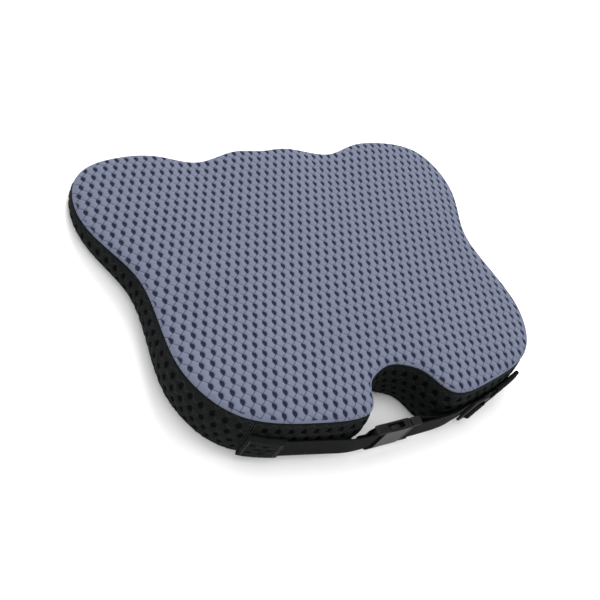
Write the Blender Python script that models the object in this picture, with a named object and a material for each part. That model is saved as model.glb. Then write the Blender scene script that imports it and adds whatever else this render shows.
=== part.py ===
"""Ergonomic wedge seat cushion: foam core in a zipped mesh cover, with a rear strap and buckle.

Metres, +Z up. The origin is on the flat underside. +Y points to the rear edge, where the
tail-bone notch and the strap are, and +X is the side that the buckle's socket is on.
"""
import math

import bmesh
import bpy
import numpy as np
from mathutils import Matrix, Vector

# Plan of the cushion
FRONT_REACH = 0.1675        # origin to the front edge
REAR_REACH = 0.1755         # origin to the tips of the rear lobes
FRONT_HALF = 0.2250         # half width over the front lobes
FRONT_WIDEST = 0.0750       # how far behind the front edge they are widest
WAIST_HALF = 0.1940         # half width at the hips
REAR_HALF = 0.1965          # half width over the rear lobes
BUMP_HALF = 0.0360          # half width of the bump between the thighs
BUMP_BACK = 0.0035          # how far the bump stays behind the front lobes
GROOVE_X = 0.0800           # thigh grooves, from the centre line
GROOVE_DIP = 0.0140         # how far they cut into the front edge
LOBE_X = 0.1190             # inner shoulder of a front lobe
NOTCH_HALF = 0.0345         # half width of the tail-bone notch
NOTCH_DEPTH = 0.0440        # its depth, from the lobe tips
NOTCH_TIP = 0.0165          # notch wall to the tip of its lobe
NOTCH_SHIFT = -0.0040       # the notch's centre line in X
NOTCH_STATIONS = 3          # stations either side of the notch's centre that shape it

# Finer stations of the outline
BUMP_LEAN = 0.0008
LOBE_BACK = 0.0038          # front lobe's inner end, behind the front line
CORNER_INSET = 0.0630       # front lobe's outer end, in from the widest point
CORNER_BACK = 0.0015
SHOULDER_INSET = 0.0140
SHOULDER_BACK = 0.0205
SIDE_PULL = 0.0035          # hollow of the side between the lobe and the waist
SIDE_SHIFT = 0.0880
WAIST_Y = 0.0045
REAR_WIDEST = 0.1110        # rear lobe's widest point, in front of the rear line
HIP_INSET = 0.0065
HIP_BACK = 0.0650
REAR_CORNER_INSET = 0.0370
REAR_CORNER_BACK = 0.0235
REAR_FLAT_INSET = 0.0960
REAR_FLAT_BACK = 0.0035
NOTCH_WALL = 0.0240         # notch's widest place, in front of the rear line
NOTCH_ROUND = 0.55          # share of the notch's half width where its end starts to round
NOTCH_RISE = 0.0055
OUTLINE_STEPS = 112         # facets round the outline

# Heights
FRONT_HEIGHT = 0.0170       # top seam above the seat, along the front
REAR_HEIGHT = 0.0660        # the same at the lobe tips
WEDGE_START = 0.0450        # front edge to where the wedge begins to rise
WEDGE_BLEND = 0.0140
CROWN = 0.0055              # how far the padding puffs above the top seam
CROWN_REACH = 0.0140
GROOVE_DEPTH = 0.0040       # thigh grooves in the top face
GROOVE_SPREAD = 0.0260
SEAT_DISH = 0.0035          # hollow under the sit bones
BULGE = 0.0050              # side wall's swell at mid height
BULGE_FULL = 0.0450         # wall height from which the swell is full

# Cover and core
TOP_THICK = 0.0030
BAND_THICK = 0.0030
BASE_THICK = 0.0024
SEWN_GAP = 0.0003           # between pieces that are sewn together
FOAM_GAP = 0.0009           # between the foam and its cover
TOP_RINGS = 7
BAND_LEVELS = 5

# Zip along the underside
ZIP_Y = -0.0600
ZIP_TROUGH = 0.0150         # half width of the channel that it lies in
TROUGH_ROOF = 0.0062
TAPE_HALF_GAP = 0.0026      # tape's inner edge to the zip's centre line
TAPE_THICK = 0.0008
TAPE_Z = 0.0040
COIL_GAP = 0.0001
COIL_DROP = 0.0010          # how far the coils hang below the tape
COIL_RISE = 0.0002
ZIP_END_CLEAR = 0.0320      # end of the zip's run to the cushion's side
SLIDER_LENGTH = 0.0090
SLIDER_WIDTH = 0.0078
SLIDER_PLATE = 0.0008
SLIDER_CLEAR = 0.0003
PULL_LENGTH = 0.0240
PULL_WIDTH = 0.0060
PULL_THICK = 0.0009
PULL_NECK = 0.0016
PULL_HEEL = 0.0004          # how far the pull reaches past its axis
PULL_FLOOR = 0.0004         # the ears' lower ends
EAR_HALF = 0.0014
EAR_CLEAR = 0.0003
STOP_LENGTH = 0.0030

# Strap
WEB_WIDTH = 0.0300
WEB_THICK = 0.0014
STRAP_Z = 0.0280            # height of the strap's centre line
SEAM_INSET = 0.0445         # the rear lobe's widest point to the seam where the bands and tabs meet
TAB_REACH = 0.0320          # how far a tab runs in from that seam, along X
TAB_OUTER_MARGIN = 0.0035   # tab beyond the webbing's edge, at the seam
TAB_INNER_MARGIN = 0.0018   # and at the tab's inner end
TAB_WALL = 0.0011
TAB_POCKET = 0.0180
TAB_CLEAR = 0.0008          # tab to the band behind it
WEB_CLEAR = 0.0003
STAND_OFF = 0.0060          # lobe tips to the buckle's inner face
STRAIGHT_END_X = 0.0520     # where the taut run from the tab meets the buckle's line

# Side-release buckle
BUCKLE_CHEEK = 0.0030       # buckle beyond the webbing's edge
BUCKLE_THICK = 0.0100
SOCKET_LENGTH = 0.0390
PLUG_BASE = 0.0120
MOUTH_X = -0.0060
MOUTH_GAP = 0.0004
CAVITY_THICK = 0.0056
CAVITY_WALL = 0.0034
CAVITY_DEPTH = 0.0285
BAR_WIDTH = 0.0042
BAR_THICK = 0.0036
BAR_CLEAR = 0.0004          # webbing to the bar that it turns round
SLOT_CLEAR = 0.0010         # turned webbing to the slot's far side
ARM_RUN = 0.0006
ARM_THICK = 0.0050
ARM_PIVOT = 0.0022
ARM_HEIGHT = 0.0036
ARM_INSET = 0.0048          # cavity's side wall to the middle of an arm's root
ARM_LENGTH = 0.0262
PAD_LENGTH = 0.0155
WINDOW_START = 0.0078
WINDOW_LENGTH = 0.0180
SCOOP_RADIUS = 0.0330
SCOOP_DEPTH = 0.0018
TONGUE_HALF = 0.0042
TONGUE_LENGTH = 0.0245
SOCKET_RETURN = 0.0240      # length of the turned-back ends
PLUG_RETURN = 0.0600
RETURN_SAG = 0.0045         # how far the plug's turned-back layer hangs lower
SAG_START = 0.0100
LAYER_GAP = 0.0006          # between the webbing's two layers

# Tri-glide adjuster
GLIDE_X = -0.0950
GLIDE_LENGTH = 0.0220
GLIDE_CHEEK = 0.0035        # tri-glide beyond the webbing's edge
GLIDE_THICK = 0.0030
GLIDE_BAR = 0.0030
GLIDE_SLOT = 0.0062
GLIDE_ROUND = 0.0010
GLIDE_CLEAR = 0.0005        # webbing to the frame that slides along it
LOOP_RADIUS = 0.0040

# Sizes that follow from the ones above
SEAM_X = REAR_HALF - SEAM_INSET
TAB_END_X = SEAM_X - TAB_REACH
TAB_OUTER_HALF = WEB_WIDTH / 2 + TAB_OUTER_MARGIN
TAB_INNER_HALF = WEB_WIDTH / 2 + TAB_INNER_MARGIN
BUCKLE_HEIGHT = WEB_WIDTH + 2 * BUCKLE_CHEEK
CAVITY_HALF = BUCKLE_HEIGHT / 2 - CAVITY_WALL
ARM_ROOT_Z = CAVITY_HALF - ARM_INSET
TURN_RADIUS = BAR_THICK / 2 + BAR_CLEAR + WEB_THICK / 2
SLOT_WIDTH = TURN_RADIUS + WEB_THICK / 2 + SLOT_CLEAR
GLIDE_HEIGHT = WEB_WIDTH + 2 * GLIDE_CHEEK


# ---------------------------------------------------------------- scene helpers

def clearScene():
    for item in list(bpy.data.objects):
        bpy.data.objects.remove(item, do_unlink=True)


def material(name, colour, roughness, metallic=0.0):
    made = bpy.data.materials.get(name) or bpy.data.materials.new(name)
    made.use_nodes = True
    shader = made.node_tree.nodes["Principled BSDF"]
    shader.inputs["Base Color"].default_value = (*colour, 1.0)
    shader.inputs["Roughness"].default_value = roughness
    shader.inputs["Metallic"].default_value = metallic
    return made


def blueMesh():
    return material("blue_mesh", (0.21, 0.24, 0.36), 0.80)


def blackMesh():
    return material("black_mesh", (0.015, 0.016, 0.018), 0.85)


def gripFabric():
    return material("grip_fabric", (0.020, 0.020, 0.022), 0.90)


def foam():
    return material("foam", (0.72, 0.70, 0.60), 0.95)


def webbing():
    return material("webbing", (0.012, 0.012, 0.013), 0.70)


def blackPlastic():
    return material("black_plastic", (0.010, 0.010, 0.011), 0.28)


def zipTape():
    return material("zip_tape", (0.013, 0.013, 0.014), 0.80)


def zipCoil():
    return material("zip_coil", (0.018, 0.018, 0.020), 0.45)


def zipMetal():
    return material("zip_metal", (0.10, 0.10, 0.11), 0.35, 1.0)


def placed(name, shape, look, origin=(0.0, 0.0, 0.0), parent=None, sharp=40.0):
    """Turn a bmesh in world coordinates into a named object with the given origin."""
    origin = Vector(origin)
    bmesh.ops.translate(shape, verts=shape.verts, vec=-origin)
    bmesh.ops.recalc_face_normals(shape, faces=shape.faces)
    mesh = bpy.data.meshes.new(name)
    shape.to_mesh(mesh)
    shape.free()
    mesh.materials.append(look)
    mesh.shade_smooth()
    mesh.set_sharp_from_angle(angle=math.radians(sharp))
    made = bpy.data.objects.new(name, mesh)
    bpy.context.scene.collection.objects.link(made)
    made.location = origin
    if parent is not None:
        made.parent = parent
        made.matrix_parent_inverse = parent.matrix_world.inverted()
    return made


def pivot(name, origin, parent=None):
    made = bpy.data.objects.new(name, None)
    made.empty_display_size = 0.01
    bpy.context.scene.collection.objects.link(made)
    made.location = origin
    if parent is not None:
        made.parent = parent
        made.matrix_parent_inverse = parent.matrix_world.inverted()
    bpy.context.view_layer.update()
    return made


# ---------------------------------------------------------------- shape helpers

def boxShape(low, high, bevel=0.0, segments=2):
    """A box between two corners, with all its edges rounded."""
    shape = bmesh.new()
    bmesh.ops.create_cube(shape, size=1.0)
    low = Vector(low)
    high = Vector(high)
    size = high - low
    bmesh.ops.scale(shape, verts=shape.verts, vec=size)
    bmesh.ops.translate(shape, verts=shape.verts, vec=(low + high) / 2)
    if bevel > 0.0:
        bmesh.ops.bevel(shape, geom=shape.edges[:], offset=bevel, segments=segments,
                        profile=0.5, affect="EDGES")
    return shape


def prismShape(outline, low, high, axis):
    """Extrude a closed outline of 2-D points along an axis, 'y' or 'z'."""
    shape = bmesh.new()
    loop = []
    for a, b in outline:
        point = (a, low, b) if axis == "y" else (a, b, low)
        loop.append(shape.verts.new(point))
    face = shape.faces.new(loop)
    moved = bmesh.ops.extrude_face_region(shape, geom=[face])
    ends = [item for item in moved["geom"] if isinstance(item, bmesh.types.BMVert)]
    vector = (0.0, high - low, 0.0) if axis == "y" else (0.0, 0.0, high - low)
    bmesh.ops.translate(shape, verts=ends, vec=vector)
    return shape


def loftShape(rings, pole=False):
    """Skin a run of rings of equal count. The ends are capped, or the last shrinks to a pole."""
    shape = bmesh.new()
    rows = [[shape.verts.new(point) for point in ring] for ring in rings]
    count = len(rows[0])
    for first, second in zip(rows[:-1], rows[1:]):
        for k in range(count):
            n = (k + 1) % count
            shape.faces.new((first[k], first[n], second[n], second[k]))
    shape.faces.new(list(reversed(rows[0])))
    if pole:
        tip = shape.verts.new(np.mean(rings[-1], axis=0))
        for k in range(count):
            shape.faces.new((rows[-1][k], rows[-1][(k + 1) % count], tip))
    else:
        shape.faces.new(rows[-1])
    return shape


def cut(made, cutter):
    """Take a wire-shown cutter out of an object with an exact Boolean."""
    cutter.hide_render = True
    cutter.display_type = "WIRE"
    tool = made.modifiers.new(cutter.name, "BOOLEAN")
    tool.operation = "DIFFERENCE"
    tool.solver = "EXACT"
    tool.object = cutter


def boxCutter(name, low, high):
    return placed(name, boxShape(low, high), blackPlastic())


# ---------------------------------------------------------------- outline

def halfStations():
    """Stations of the right half of the top seam in plan, from front centre to notch centre."""
    front = -FRONT_REACH
    rear = REAR_REACH
    tip = NOTCH_HALF + NOTCH_TIP
    sideX = (FRONT_HALF + WAIST_HALF) / 2 - SIDE_PULL
    sideY = (2 * front + FRONT_WIDEST + WAIST_Y) / 2 + SIDE_SHIFT
    return [
        (0.0, front + BUMP_BACK),
        (BUMP_HALF, front + BUMP_BACK - BUMP_LEAN),
        (GROOVE_X, front + GROOVE_DIP),
        (LOBE_X, front + LOBE_BACK),
        (FRONT_HALF - CORNER_INSET, front + CORNER_BACK),
        (FRONT_HALF - SHOULDER_INSET, front + SHOULDER_BACK),
        (FRONT_HALF, front + FRONT_WIDEST),
        (sideX, sideY),
        (WAIST_HALF, WAIST_Y),
        (REAR_HALF, rear - REAR_WIDEST),
        (REAR_HALF - HIP_INSET, rear - HIP_BACK),
        (REAR_HALF - REAR_CORNER_INSET, rear - REAR_CORNER_BACK),
        (REAR_HALF - REAR_FLAT_INSET, rear - REAR_FLAT_BACK),
        (tip, rear),
        (NOTCH_HALF, rear - NOTCH_WALL),
        (NOTCH_HALF * NOTCH_ROUND, rear - NOTCH_DEPTH + NOTCH_RISE),
        (0.0, rear - NOTCH_DEPTH),
    ]


def closedSpline(points):
    """Coefficients of the smooth closed cubic through the points, one unit per span."""
    points = np.array(points)
    count = len(points)
    system = 4.0 * np.eye(count) + np.roll(np.eye(count), 1, 0) + np.roll(np.eye(count), -1, 0)
    bend = np.linalg.solve(system, 6.0 * (np.roll(points, 1, 0) - 2 * points + np.roll(points, -1, 0)))
    return points, bend


def onSpline(spline, at):
    points, bend = spline
    count = len(points)
    at = np.asarray(at, dtype=float) % count
    k = np.minimum(at.astype(int), count - 1)
    n = (k + 1) % count
    b = (at - k)[:, None]
    a = 1.0 - b
    curve = ((a ** 3 - a) * bend[k] + (b ** 3 - b) * bend[n]) / 6.0
    return a * points[k] + b * points[n] + curve


class Outline:
    """The closed top seam in plan, measured counter-clockwise from the front centre."""

    def __init__(self):
        half = halfStations()
        mirrored = [(-x, y) for x, y in half[-2:0:-1]]
        whole = np.array(half + mirrored)
        middle = len(half) - 1
        whole[middle - NOTCH_STATIONS:middle + NOTCH_STATIONS + 1, 0] += NOTCH_SHIFT
        self.spline = closedSpline(whole)
        self.spans = len(half) * 2 - 2
        fine = np.linspace(0.0, self.spans, 4001)
        points = onSpline(self.spline, fine)
        step = np.linalg.norm(np.diff(points, axis=0), axis=1)
        heading = np.unwrap(np.arctan2(*np.diff(points, axis=0).T[::-1]))
        turn = np.abs(np.diff(heading, append=heading[:1] + 2 * math.pi))
        weight = np.concatenate([[0.0], np.cumsum(step + 0.045 * turn)])
        self.fine = fine
        self.weight = weight / weight[-1]

    def station(self, share):
        """Spline position at a share of the way round, with more facets where it bends."""
        return np.interp(np.asarray(share) % 1.0, self.weight, self.fine)

    def ring(self, at, offset=0.0):
        """Points at spline positions, moved outwards along the normal in plan."""
        at = np.asarray(at, dtype=float)
        points = onSpline(self.spline, at)
        ahead = onSpline(self.spline, at + 0.02) - onSpline(self.spline, at - 0.02)
        normal = np.stack([ahead[:, 1], -ahead[:, 0]], axis=1)
        normal /= np.linalg.norm(normal, axis=1)[:, None]
        return points + normal * np.reshape(offset, (-1, 1))

    def atX(self, x):
        """Spline position on the rear lobe where it crosses x."""
        low = self.spans / 2 * 0.55
        span = np.linspace(low, self.spans / 2 - 3.2, 2000)
        found = onSpline(self.spline, span)[:, 0]
        place = float(np.interp(-abs(x), -found, span))
        return place if x > 0 else self.spans - place


OUTLINE = Outline()


def seamPositions():
    """Spline positions of the four band ends, half a sewn gap either side of each seam."""
    left = OUTLINE.atX(SEAM_X)
    right = OUTLINE.atX(-SEAM_X)
    points = OUTLINE.ring(np.array([left - 0.01, left + 0.01]))
    perMetre = 0.02 / np.linalg.norm(points[1] - points[0])
    slack = SEWN_GAP / 2 * perMetre
    return left - slack, left + slack, right - slack, right + slack


def stations():
    """Spline positions shared by every piece that follows the outline, band ends included."""
    even = OUTLINE.station(np.arange(OUTLINE_STEPS) / OUTLINE_STEPS)
    ends = np.array(seamPositions())
    far = np.abs(even[:, None] - ends[None, :]).min(axis=1) > 0.15
    return np.sort(np.concatenate([even[far], ends]))


def rimHeight(y):
    """Height of the top seam: level along the front, then a straight wedge to the rear."""
    start = -FRONT_REACH + WEDGE_START
    slope = (REAR_HEIGHT - FRONT_HEIGHT) / (REAR_REACH - start)
    run = (np.asarray(y) - start) / WEDGE_BLEND
    return FRONT_HEIGHT + slope * WEDGE_BLEND * np.logaddexp(0.0, run)


def swell(level, height):
    """Outward swell of the side wall at a share of its height."""
    full = BULGE * np.minimum(1.0, height / BULGE_FULL)
    return full * np.sin(math.pi * level)


def padHeight(points, inward):
    """Height of the top face: the wedge, its crowned edge, the thigh grooves and the dish."""
    x = points[:, 0]
    y = points[:, 1]
    rise = 1.0 - np.exp(-inward / CROWN_REACH)
    towardFront = np.clip(-y / FRONT_REACH, 0.0, 1.0) ** 1.5
    groove = np.exp(-((np.abs(x) - GROOVE_X) / GROOVE_SPREAD) ** 2) * towardFront
    dish = np.exp(-(x / 0.13) ** 2 - ((y - 0.045) / 0.075) ** 2)
    return rimHeight(y) + rise * (CROWN - GROOVE_DEPTH * groove - SEAT_DISH * dish)


def ringAt(at, offset, heights):
    flat = OUTLINE.ring(at, offset)
    return np.column_stack([flat, np.broadcast_to(heights, len(flat))])


def shrunkRings(at, offset, drop):
    """Rings running in from an offset rim towards the origin, on the top face less a drop."""
    rim = OUTLINE.ring(at, offset)
    reach = np.linalg.norm(rim, axis=1)
    rings = []
    for k in range(1, TOP_RINGS + 1):
        share = 1.0 - (k / (TOP_RINGS + 0.6)) ** 1.7
        flat = rim * share
        inward = (1.0 - share) * reach - offset
        rings.append(np.column_stack([flat, padHeight(flat, inward) - drop]))
    return rings


# ---------------------------------------------------------------- cover and core

def topPanel():
    at = stations()
    y = OUTLINE.ring(at)[:, 1]
    seam = rimHeight(y)
    inner = shrunkRings(at, -SEWN_GAP - BAND_THICK, TOP_THICK)
    outer = shrunkRings(at, -0.0008, 0.0)
    lowerRim = ringAt(at, -0.0004, seam - TOP_THICK)
    edge = ringAt(at, 0.0004, seam - TOP_THICK / 2)
    upperRim = ringAt(at, -0.0008, seam)
    shape = bmesh.new()
    rings = inner[::-1] + [lowerRim, edge, upperRim] + outer
    rows = [[shape.verts.new(point) for point in ring] for ring in rings]
    count = len(at)
    for first, second in zip(rows[:-1], rows[1:]):
        for k in range(count):
            n = (k + 1) % count
            shape.faces.new((first[k], first[n], second[n], second[k]))
    for row, ring in ((rows[0], rings[0]), (rows[-1], rings[-1])):
        tip = shape.verts.new(np.mean(ring, axis=0))
        for k in range(count):
            shape.faces.new((row[k], row[(k + 1) % count], tip))
    return placed("top_panel", shape, blueMesh())


def wallLevels():
    return np.linspace(0.0, 1.0, BAND_LEVELS + 1)


def bandSection(at, levels, inset):
    """One column of wall points, for each station, at a depth behind the outer face."""
    y = OUTLINE.ring(at)[:, 1]
    tall = rimHeight(y) - TOP_THICK - SEWN_GAP
    columns = []
    for level in levels:
        offset = swell(level, tall) - inset
        columns.append(ringAt(at, offset, level * tall))
    return columns


def sideBand(name, first, last):
    """One piece of the side wall, between two spline positions."""
    every = stations()
    spans = OUTLINE.spans
    run = (every - first) % spans
    length = (last - first) % spans
    inside = np.sort(run[(run > 0.001) & (run < length - 0.001)])
    at = (first + np.concatenate([[0.0], inside, [length]])) % spans
    levels = wallLevels()
    outer = bandSection(at, levels, 0.0)
    inner = bandSection(at, levels, BAND_THICK)
    profile = outer + inner[::-1]
    rings = [[column[k] for column in profile] for k in range(len(at))]
    return placed(name, loftShape(rings), blackMesh())


def sideBands():
    leftFront, leftRear, rightRear, rightFront = seamPositions()
    sideBand("side_band_front", rightFront, leftFront)
    sideBand("side_band_rear", leftRear, rightRear)


def foamCore():
    at = stations()
    inset = BAND_THICK + FOAM_GAP
    y = OUTLINE.ring(at)[:, 1]
    tall = rimHeight(y) - TOP_THICK - SEWN_GAP
    base = BASE_THICK + FOAM_GAP
    drop = TOP_THICK + FOAM_GAP
    rings = [ringAt(at, swell(base / tall, tall) - inset, base)]
    for level in (0.35, 0.65):
        rings.append(ringAt(at, swell(level, tall) - inset, level * tall))
    rings.append(ringAt(at, -inset - 0.0015, rimHeight(y) - drop - 0.0022))
    rings += shrunkRings(at, -inset - 0.0030, drop)
    core = placed("foam_core", loftShape(rings, pole=True), foam())
    wide = 2.0 * FRONT_HALF
    trough = boxCutter("zip_trough_cutter", (-wide, ZIP_Y - ZIP_TROUGH, -0.01),
                       (wide, ZIP_Y + ZIP_TROUGH, TROUGH_ROOF))
    cut(core, trough)
    return core


def baseOutline():
    flat = OUTLINE.ring(stations(), -BAND_THICK - SEWN_GAP)
    return [tuple(point) for point in flat]


def basePanel(name, front):
    """One half of the underside, cut off at its edge of the zip channel."""
    shape = prismShape(baseOutline(), 0.0, BASE_THICK, "z")
    side = -1.0 if front else 1.0
    edge = ZIP_Y + side * (ZIP_TROUGH + SEWN_GAP)
    bmesh.ops.bisect_plane(shape, geom=shape.verts[:] + shape.edges[:] + shape.faces[:],
                           plane_co=(0.0, edge, 0.0), plane_no=(0.0, -side, 0.0), clear_outer=True)
    rims = [item for item in shape.edges if item.is_boundary]
    bmesh.ops.edgeloop_fill(shape, edges=rims)
    return placed(name, shape, gripFabric())


# ---------------------------------------------------------------- zip

def sideReach(y):
    """Half width of the bottom panel at a distance y."""
    flat = OUTLINE.ring(stations(), -BAND_THICK - SEWN_GAP)
    right = flat[(flat[:, 0] > 0.05) & (flat[:, 1] < REAR_REACH - 0.06)]
    order = np.argsort(right[:, 1])
    return float(np.interp(y, right[order, 1], right[order, 0]))


def zipHalf():
    return sideReach(ZIP_Y) - ZIP_END_CLEAR


def zipTapes():
    run = min(sideReach(ZIP_Y - ZIP_TROUGH), sideReach(ZIP_Y + ZIP_TROUGH)) - SEWN_GAP
    for name, side in (("zip_tape_front", -1.0), ("zip_tape_rear", 1.0)):
        edges = sorted((ZIP_Y + side * TAPE_HALF_GAP, ZIP_Y + side * (ZIP_TROUGH - SEWN_GAP)))
        low = (-run, edges[0], TAPE_Z)
        high = (run, edges[1], TAPE_Z + TAPE_THICK)
        placed(name, boxShape(low, high), zipTape())


def coilRange():
    return TAPE_Z - COIL_DROP, TAPE_Z + TAPE_THICK + COIL_RISE


def zipCoils():
    low, high = coilRange()
    run = zipHalf()
    middle = (low + high) / 2
    for name, side in (("zip_coil_front", -1.0), ("zip_coil_rear", 1.0)):
        inner = ZIP_Y + side * COIL_GAP
        outer = ZIP_Y + side * (TAPE_HALF_GAP - SEWN_GAP)
        half = abs(outer - inner) / 2
        centre = (inner + outer) / 2
        ring = []
        for k in range(10):
            angle = 2.0 * math.pi * k / 10
            ring.append((centre + half * math.cos(angle), middle + (high - low) / 2 * math.sin(angle)))
        rings = [[(x, a, b) for a, b in ring] for x in (-run, 0.0, run)]
        placed(name, loftShape(rings), zipCoil())


def zipStops():
    low, high = coilRange()
    start = zipHalf() + SEWN_GAP
    half = TAPE_HALF_GAP - SEWN_GAP
    for name, side in (("zip_stop_left", 1.0), ("zip_stop_right", -1.0)):
        ends = sorted((side * start, side * (start + STOP_LENGTH)))
        placed(name, boxShape((ends[0], ZIP_Y - half, low), (ends[1], ZIP_Y + half, high), 0.0003),
               zipMetal())


def sliderX():
    return zipHalf() - SLIDER_LENGTH / 2


def zipSlider():
    """A plate under the coils with two lips beside them, and two ears that hold the pull."""
    low, high = coilRange()
    roof = low - SLIDER_CLEAR
    floor = roof - SLIDER_PLATE
    half = SLIDER_WIDTH / 2
    lipInner = TAPE_HALF_GAP + 0.0004
    lipTop = TAPE_Z - SLIDER_CLEAR
    profile = [(-half, floor), (half, floor), (half, lipTop), (lipInner, lipTop),
               (lipInner, roof), (-lipInner, roof), (-lipInner, lipTop), (-half, lipTop)]
    start = sliderX() - SLIDER_LENGTH / 2
    rings = [[(x, ZIP_Y + a, b) for a, b in profile] for x in (start, start + SLIDER_LENGTH)]
    made = placed("zip_slider", loftShape(rings), zipMetal(), origin=(sliderX(), ZIP_Y, floor))
    for name, side in (("slider_ear_front", -1.0), ("slider_ear_rear", 1.0)):
        edges = sorted((ZIP_Y + side * (PULL_NECK + EAR_CLEAR), ZIP_Y + side * (half - EAR_CLEAR)))
        corner = (sliderX() - EAR_HALF, edges[0], PULL_FLOOR)
        ear = placed(name, boxShape(corner, (sliderX() + EAR_HALF, edges[1], floor + SLIDER_PLATE / 2)),
                     zipMetal())
        ear.hide_render = True
        ear.display_type = "WIRE"
        join = made.modifiers.new(name, "BOOLEAN")
        join.operation = "UNION"
        join.solver = "EXACT"
        join.object = ear
    return made


def pullAxis():
    low, high = coilRange()
    floor = low - SLIDER_CLEAR - SLIDER_PLATE
    return sliderX(), floor - SLIDER_CLEAR - PULL_THICK / 2


def zipPull(slider):
    """A flat tab lying under the slider, hung at its outer end."""
    x, z = pullAxis()
    hinge = pivot("zip_pull_pivot", (x, ZIP_Y, z), slider)
    half = PULL_WIDTH / 2
    corner = 0.0020
    outline = [(x + PULL_HEEL, -PULL_NECK), (x + PULL_HEEL, PULL_NECK), (x - 0.0040, PULL_NECK),
               (x - 0.0060, half), (x - PULL_LENGTH + corner, half), (x - PULL_LENGTH, half - corner),
               (x - PULL_LENGTH, corner - half), (x - PULL_LENGTH + corner, -half),
               (x - 0.0060, -half), (x - 0.0040, -PULL_NECK)]
    points = [(a, ZIP_Y + b) for a, b in outline]
    shape = prismShape(points, z - PULL_THICK / 2, z + PULL_THICK / 2, "z")
    placed("zip_pull", shape, zipMetal(), origin=(x, ZIP_Y, z), parent=hinge)


# ---------------------------------------------------------------- strap

def buckleY():
    """Centre plane of the buckle, clear of the swollen lobe tips."""
    return REAR_REACH + BULGE + STAND_OFF


def wallAt(x, clear):
    """Point in plan off the side wall at strap height, on the rear lobe at x."""
    at = np.array([OUTLINE.atX(x)])
    tall = rimHeight(OUTLINE.ring(at)[:, 1]) - TOP_THICK - SEWN_GAP
    return OUTLINE.ring(at, swell(0.5, tall) + clear)[0]


def tabHalfThick():
    return WEB_THICK / 2 + WEB_CLEAR + TAB_WALL


def strapGuide():
    """Plan points of the webbing's outer run on the +X side, from the tab to the buckle."""
    clear = TAB_CLEAR + tabHalfThick()
    guide = []
    for k in range(5):
        x = SEAM_X + (TAB_END_X - SEAM_X) * k / 4
        guide.append(wallAt(x, clear))
    outer = buckleY() + TURN_RADIUS
    start = guide[-1]
    end = np.array([STRAIGHT_END_X, outer])
    for share in (0.08, 0.30, 0.60, 0.92):
        guide.append(start + (end - start) * share)
    return guide, outer


def smoothPath(points, count):
    """Evenly spaced points along a centripetal curve through plan points."""
    points = np.array(points)
    ends = np.vstack([2 * points[0] - points[1], points, 2 * points[-1] - points[-2]])
    fine = []
    for k in range(len(points) - 1):
        p0, p1, p2, p3 = ends[k:k + 4]
        t = np.linspace(0.0, 1.0, 24, endpoint=False)[:, None]
        fine.append(0.5 * (2 * p1 + (p2 - p0) * t + (2 * p0 - 5 * p1 + 4 * p2 - p3) * t ** 2
                           + (3 * p1 - p0 - 3 * p2 + p3) * t ** 3))
    fine = np.vstack(fine + [points[-1:]])
    length = np.concatenate([[0.0], np.cumsum(np.linalg.norm(np.diff(fine, axis=0), axis=1))])
    even = np.linspace(0.0, length[-1], count)
    return np.column_stack([np.interp(even, length, fine[:, k]) for k in range(2)])


def sweptRings(path, halfThick, halfWidth, middle):
    """Upright rectangles across a plan path: thickness in plan, width along Z."""
    path = np.asarray(path)
    count = len(path)
    halfThick = np.broadcast_to(halfThick, count)
    halfWidth = np.broadcast_to(halfWidth, count)
    middle = np.broadcast_to(middle, count)
    ahead = np.gradient(path, axis=0)
    normal = np.stack([-ahead[:, 1], ahead[:, 0]], axis=1)
    normal /= np.linalg.norm(normal, axis=1)[:, None]
    rings = []
    for k in range(count):
        out = path[k] + normal[k] * halfThick[k]
        back = path[k] - normal[k] * halfThick[k]
        low = middle[k] - halfWidth[k]
        high = middle[k] + halfWidth[k]
        rings.append([(*out, low), (*out, high), (*back, high), (*back, low)])
    return rings


def mirrored(points):
    return [np.array([-p[0], p[1]]) for p in points]


def tab(name, side):
    """A folded tab: closed at the seam, with a pocket for the webbing at its inner end."""
    clear = TAB_CLEAR + tabHalfThick()
    xs = np.linspace(SEAM_X, TAB_END_X, 9)
    path = np.array([wallAt(x, clear) for x in xs])
    length = np.concatenate([[0.0], np.cumsum(np.linalg.norm(np.diff(path, axis=0), axis=1))])
    halfWidth = np.interp(length, [0.0, length[-1]], [TAB_OUTER_HALF, TAB_INNER_HALF])
    outer = sweptRings(path, tabHalfThick(), halfWidth, STRAP_Z)
    pocketRun = length >= length[-1] - TAB_POCKET
    slot = sweptRings(path, tabHalfThick() - TAB_WALL, WEB_WIDTH / 2 + WEB_CLEAR, STRAP_Z)
    inner = [slot[k] for k in range(len(path)) if pocketRun[k]]
    rings = outer + inner[::-1]
    rings = [[(side * p[0], p[1], p[2]) for p in ring] for ring in rings]
    return placed(name, loftShape(rings), blackMesh())


def pocketStart():
    """Guide points of the webbing inside the pocket."""
    clear = TAB_CLEAR + tabHalfThick()
    xs = np.linspace(TAB_END_X + TAB_POCKET * 0.72, TAB_END_X, 4)
    return [wallAt(x, clear) for x in xs]


def turn(centre, first, last, steps=8):
    """Plan points round a bar, between two angles in degrees."""
    angles = np.radians(np.linspace(first, last, steps))
    return [np.array([centre[0] + TURN_RADIUS * math.cos(a), centre[1] + TURN_RADIUS * math.sin(a)])
            for a in angles]


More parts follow.
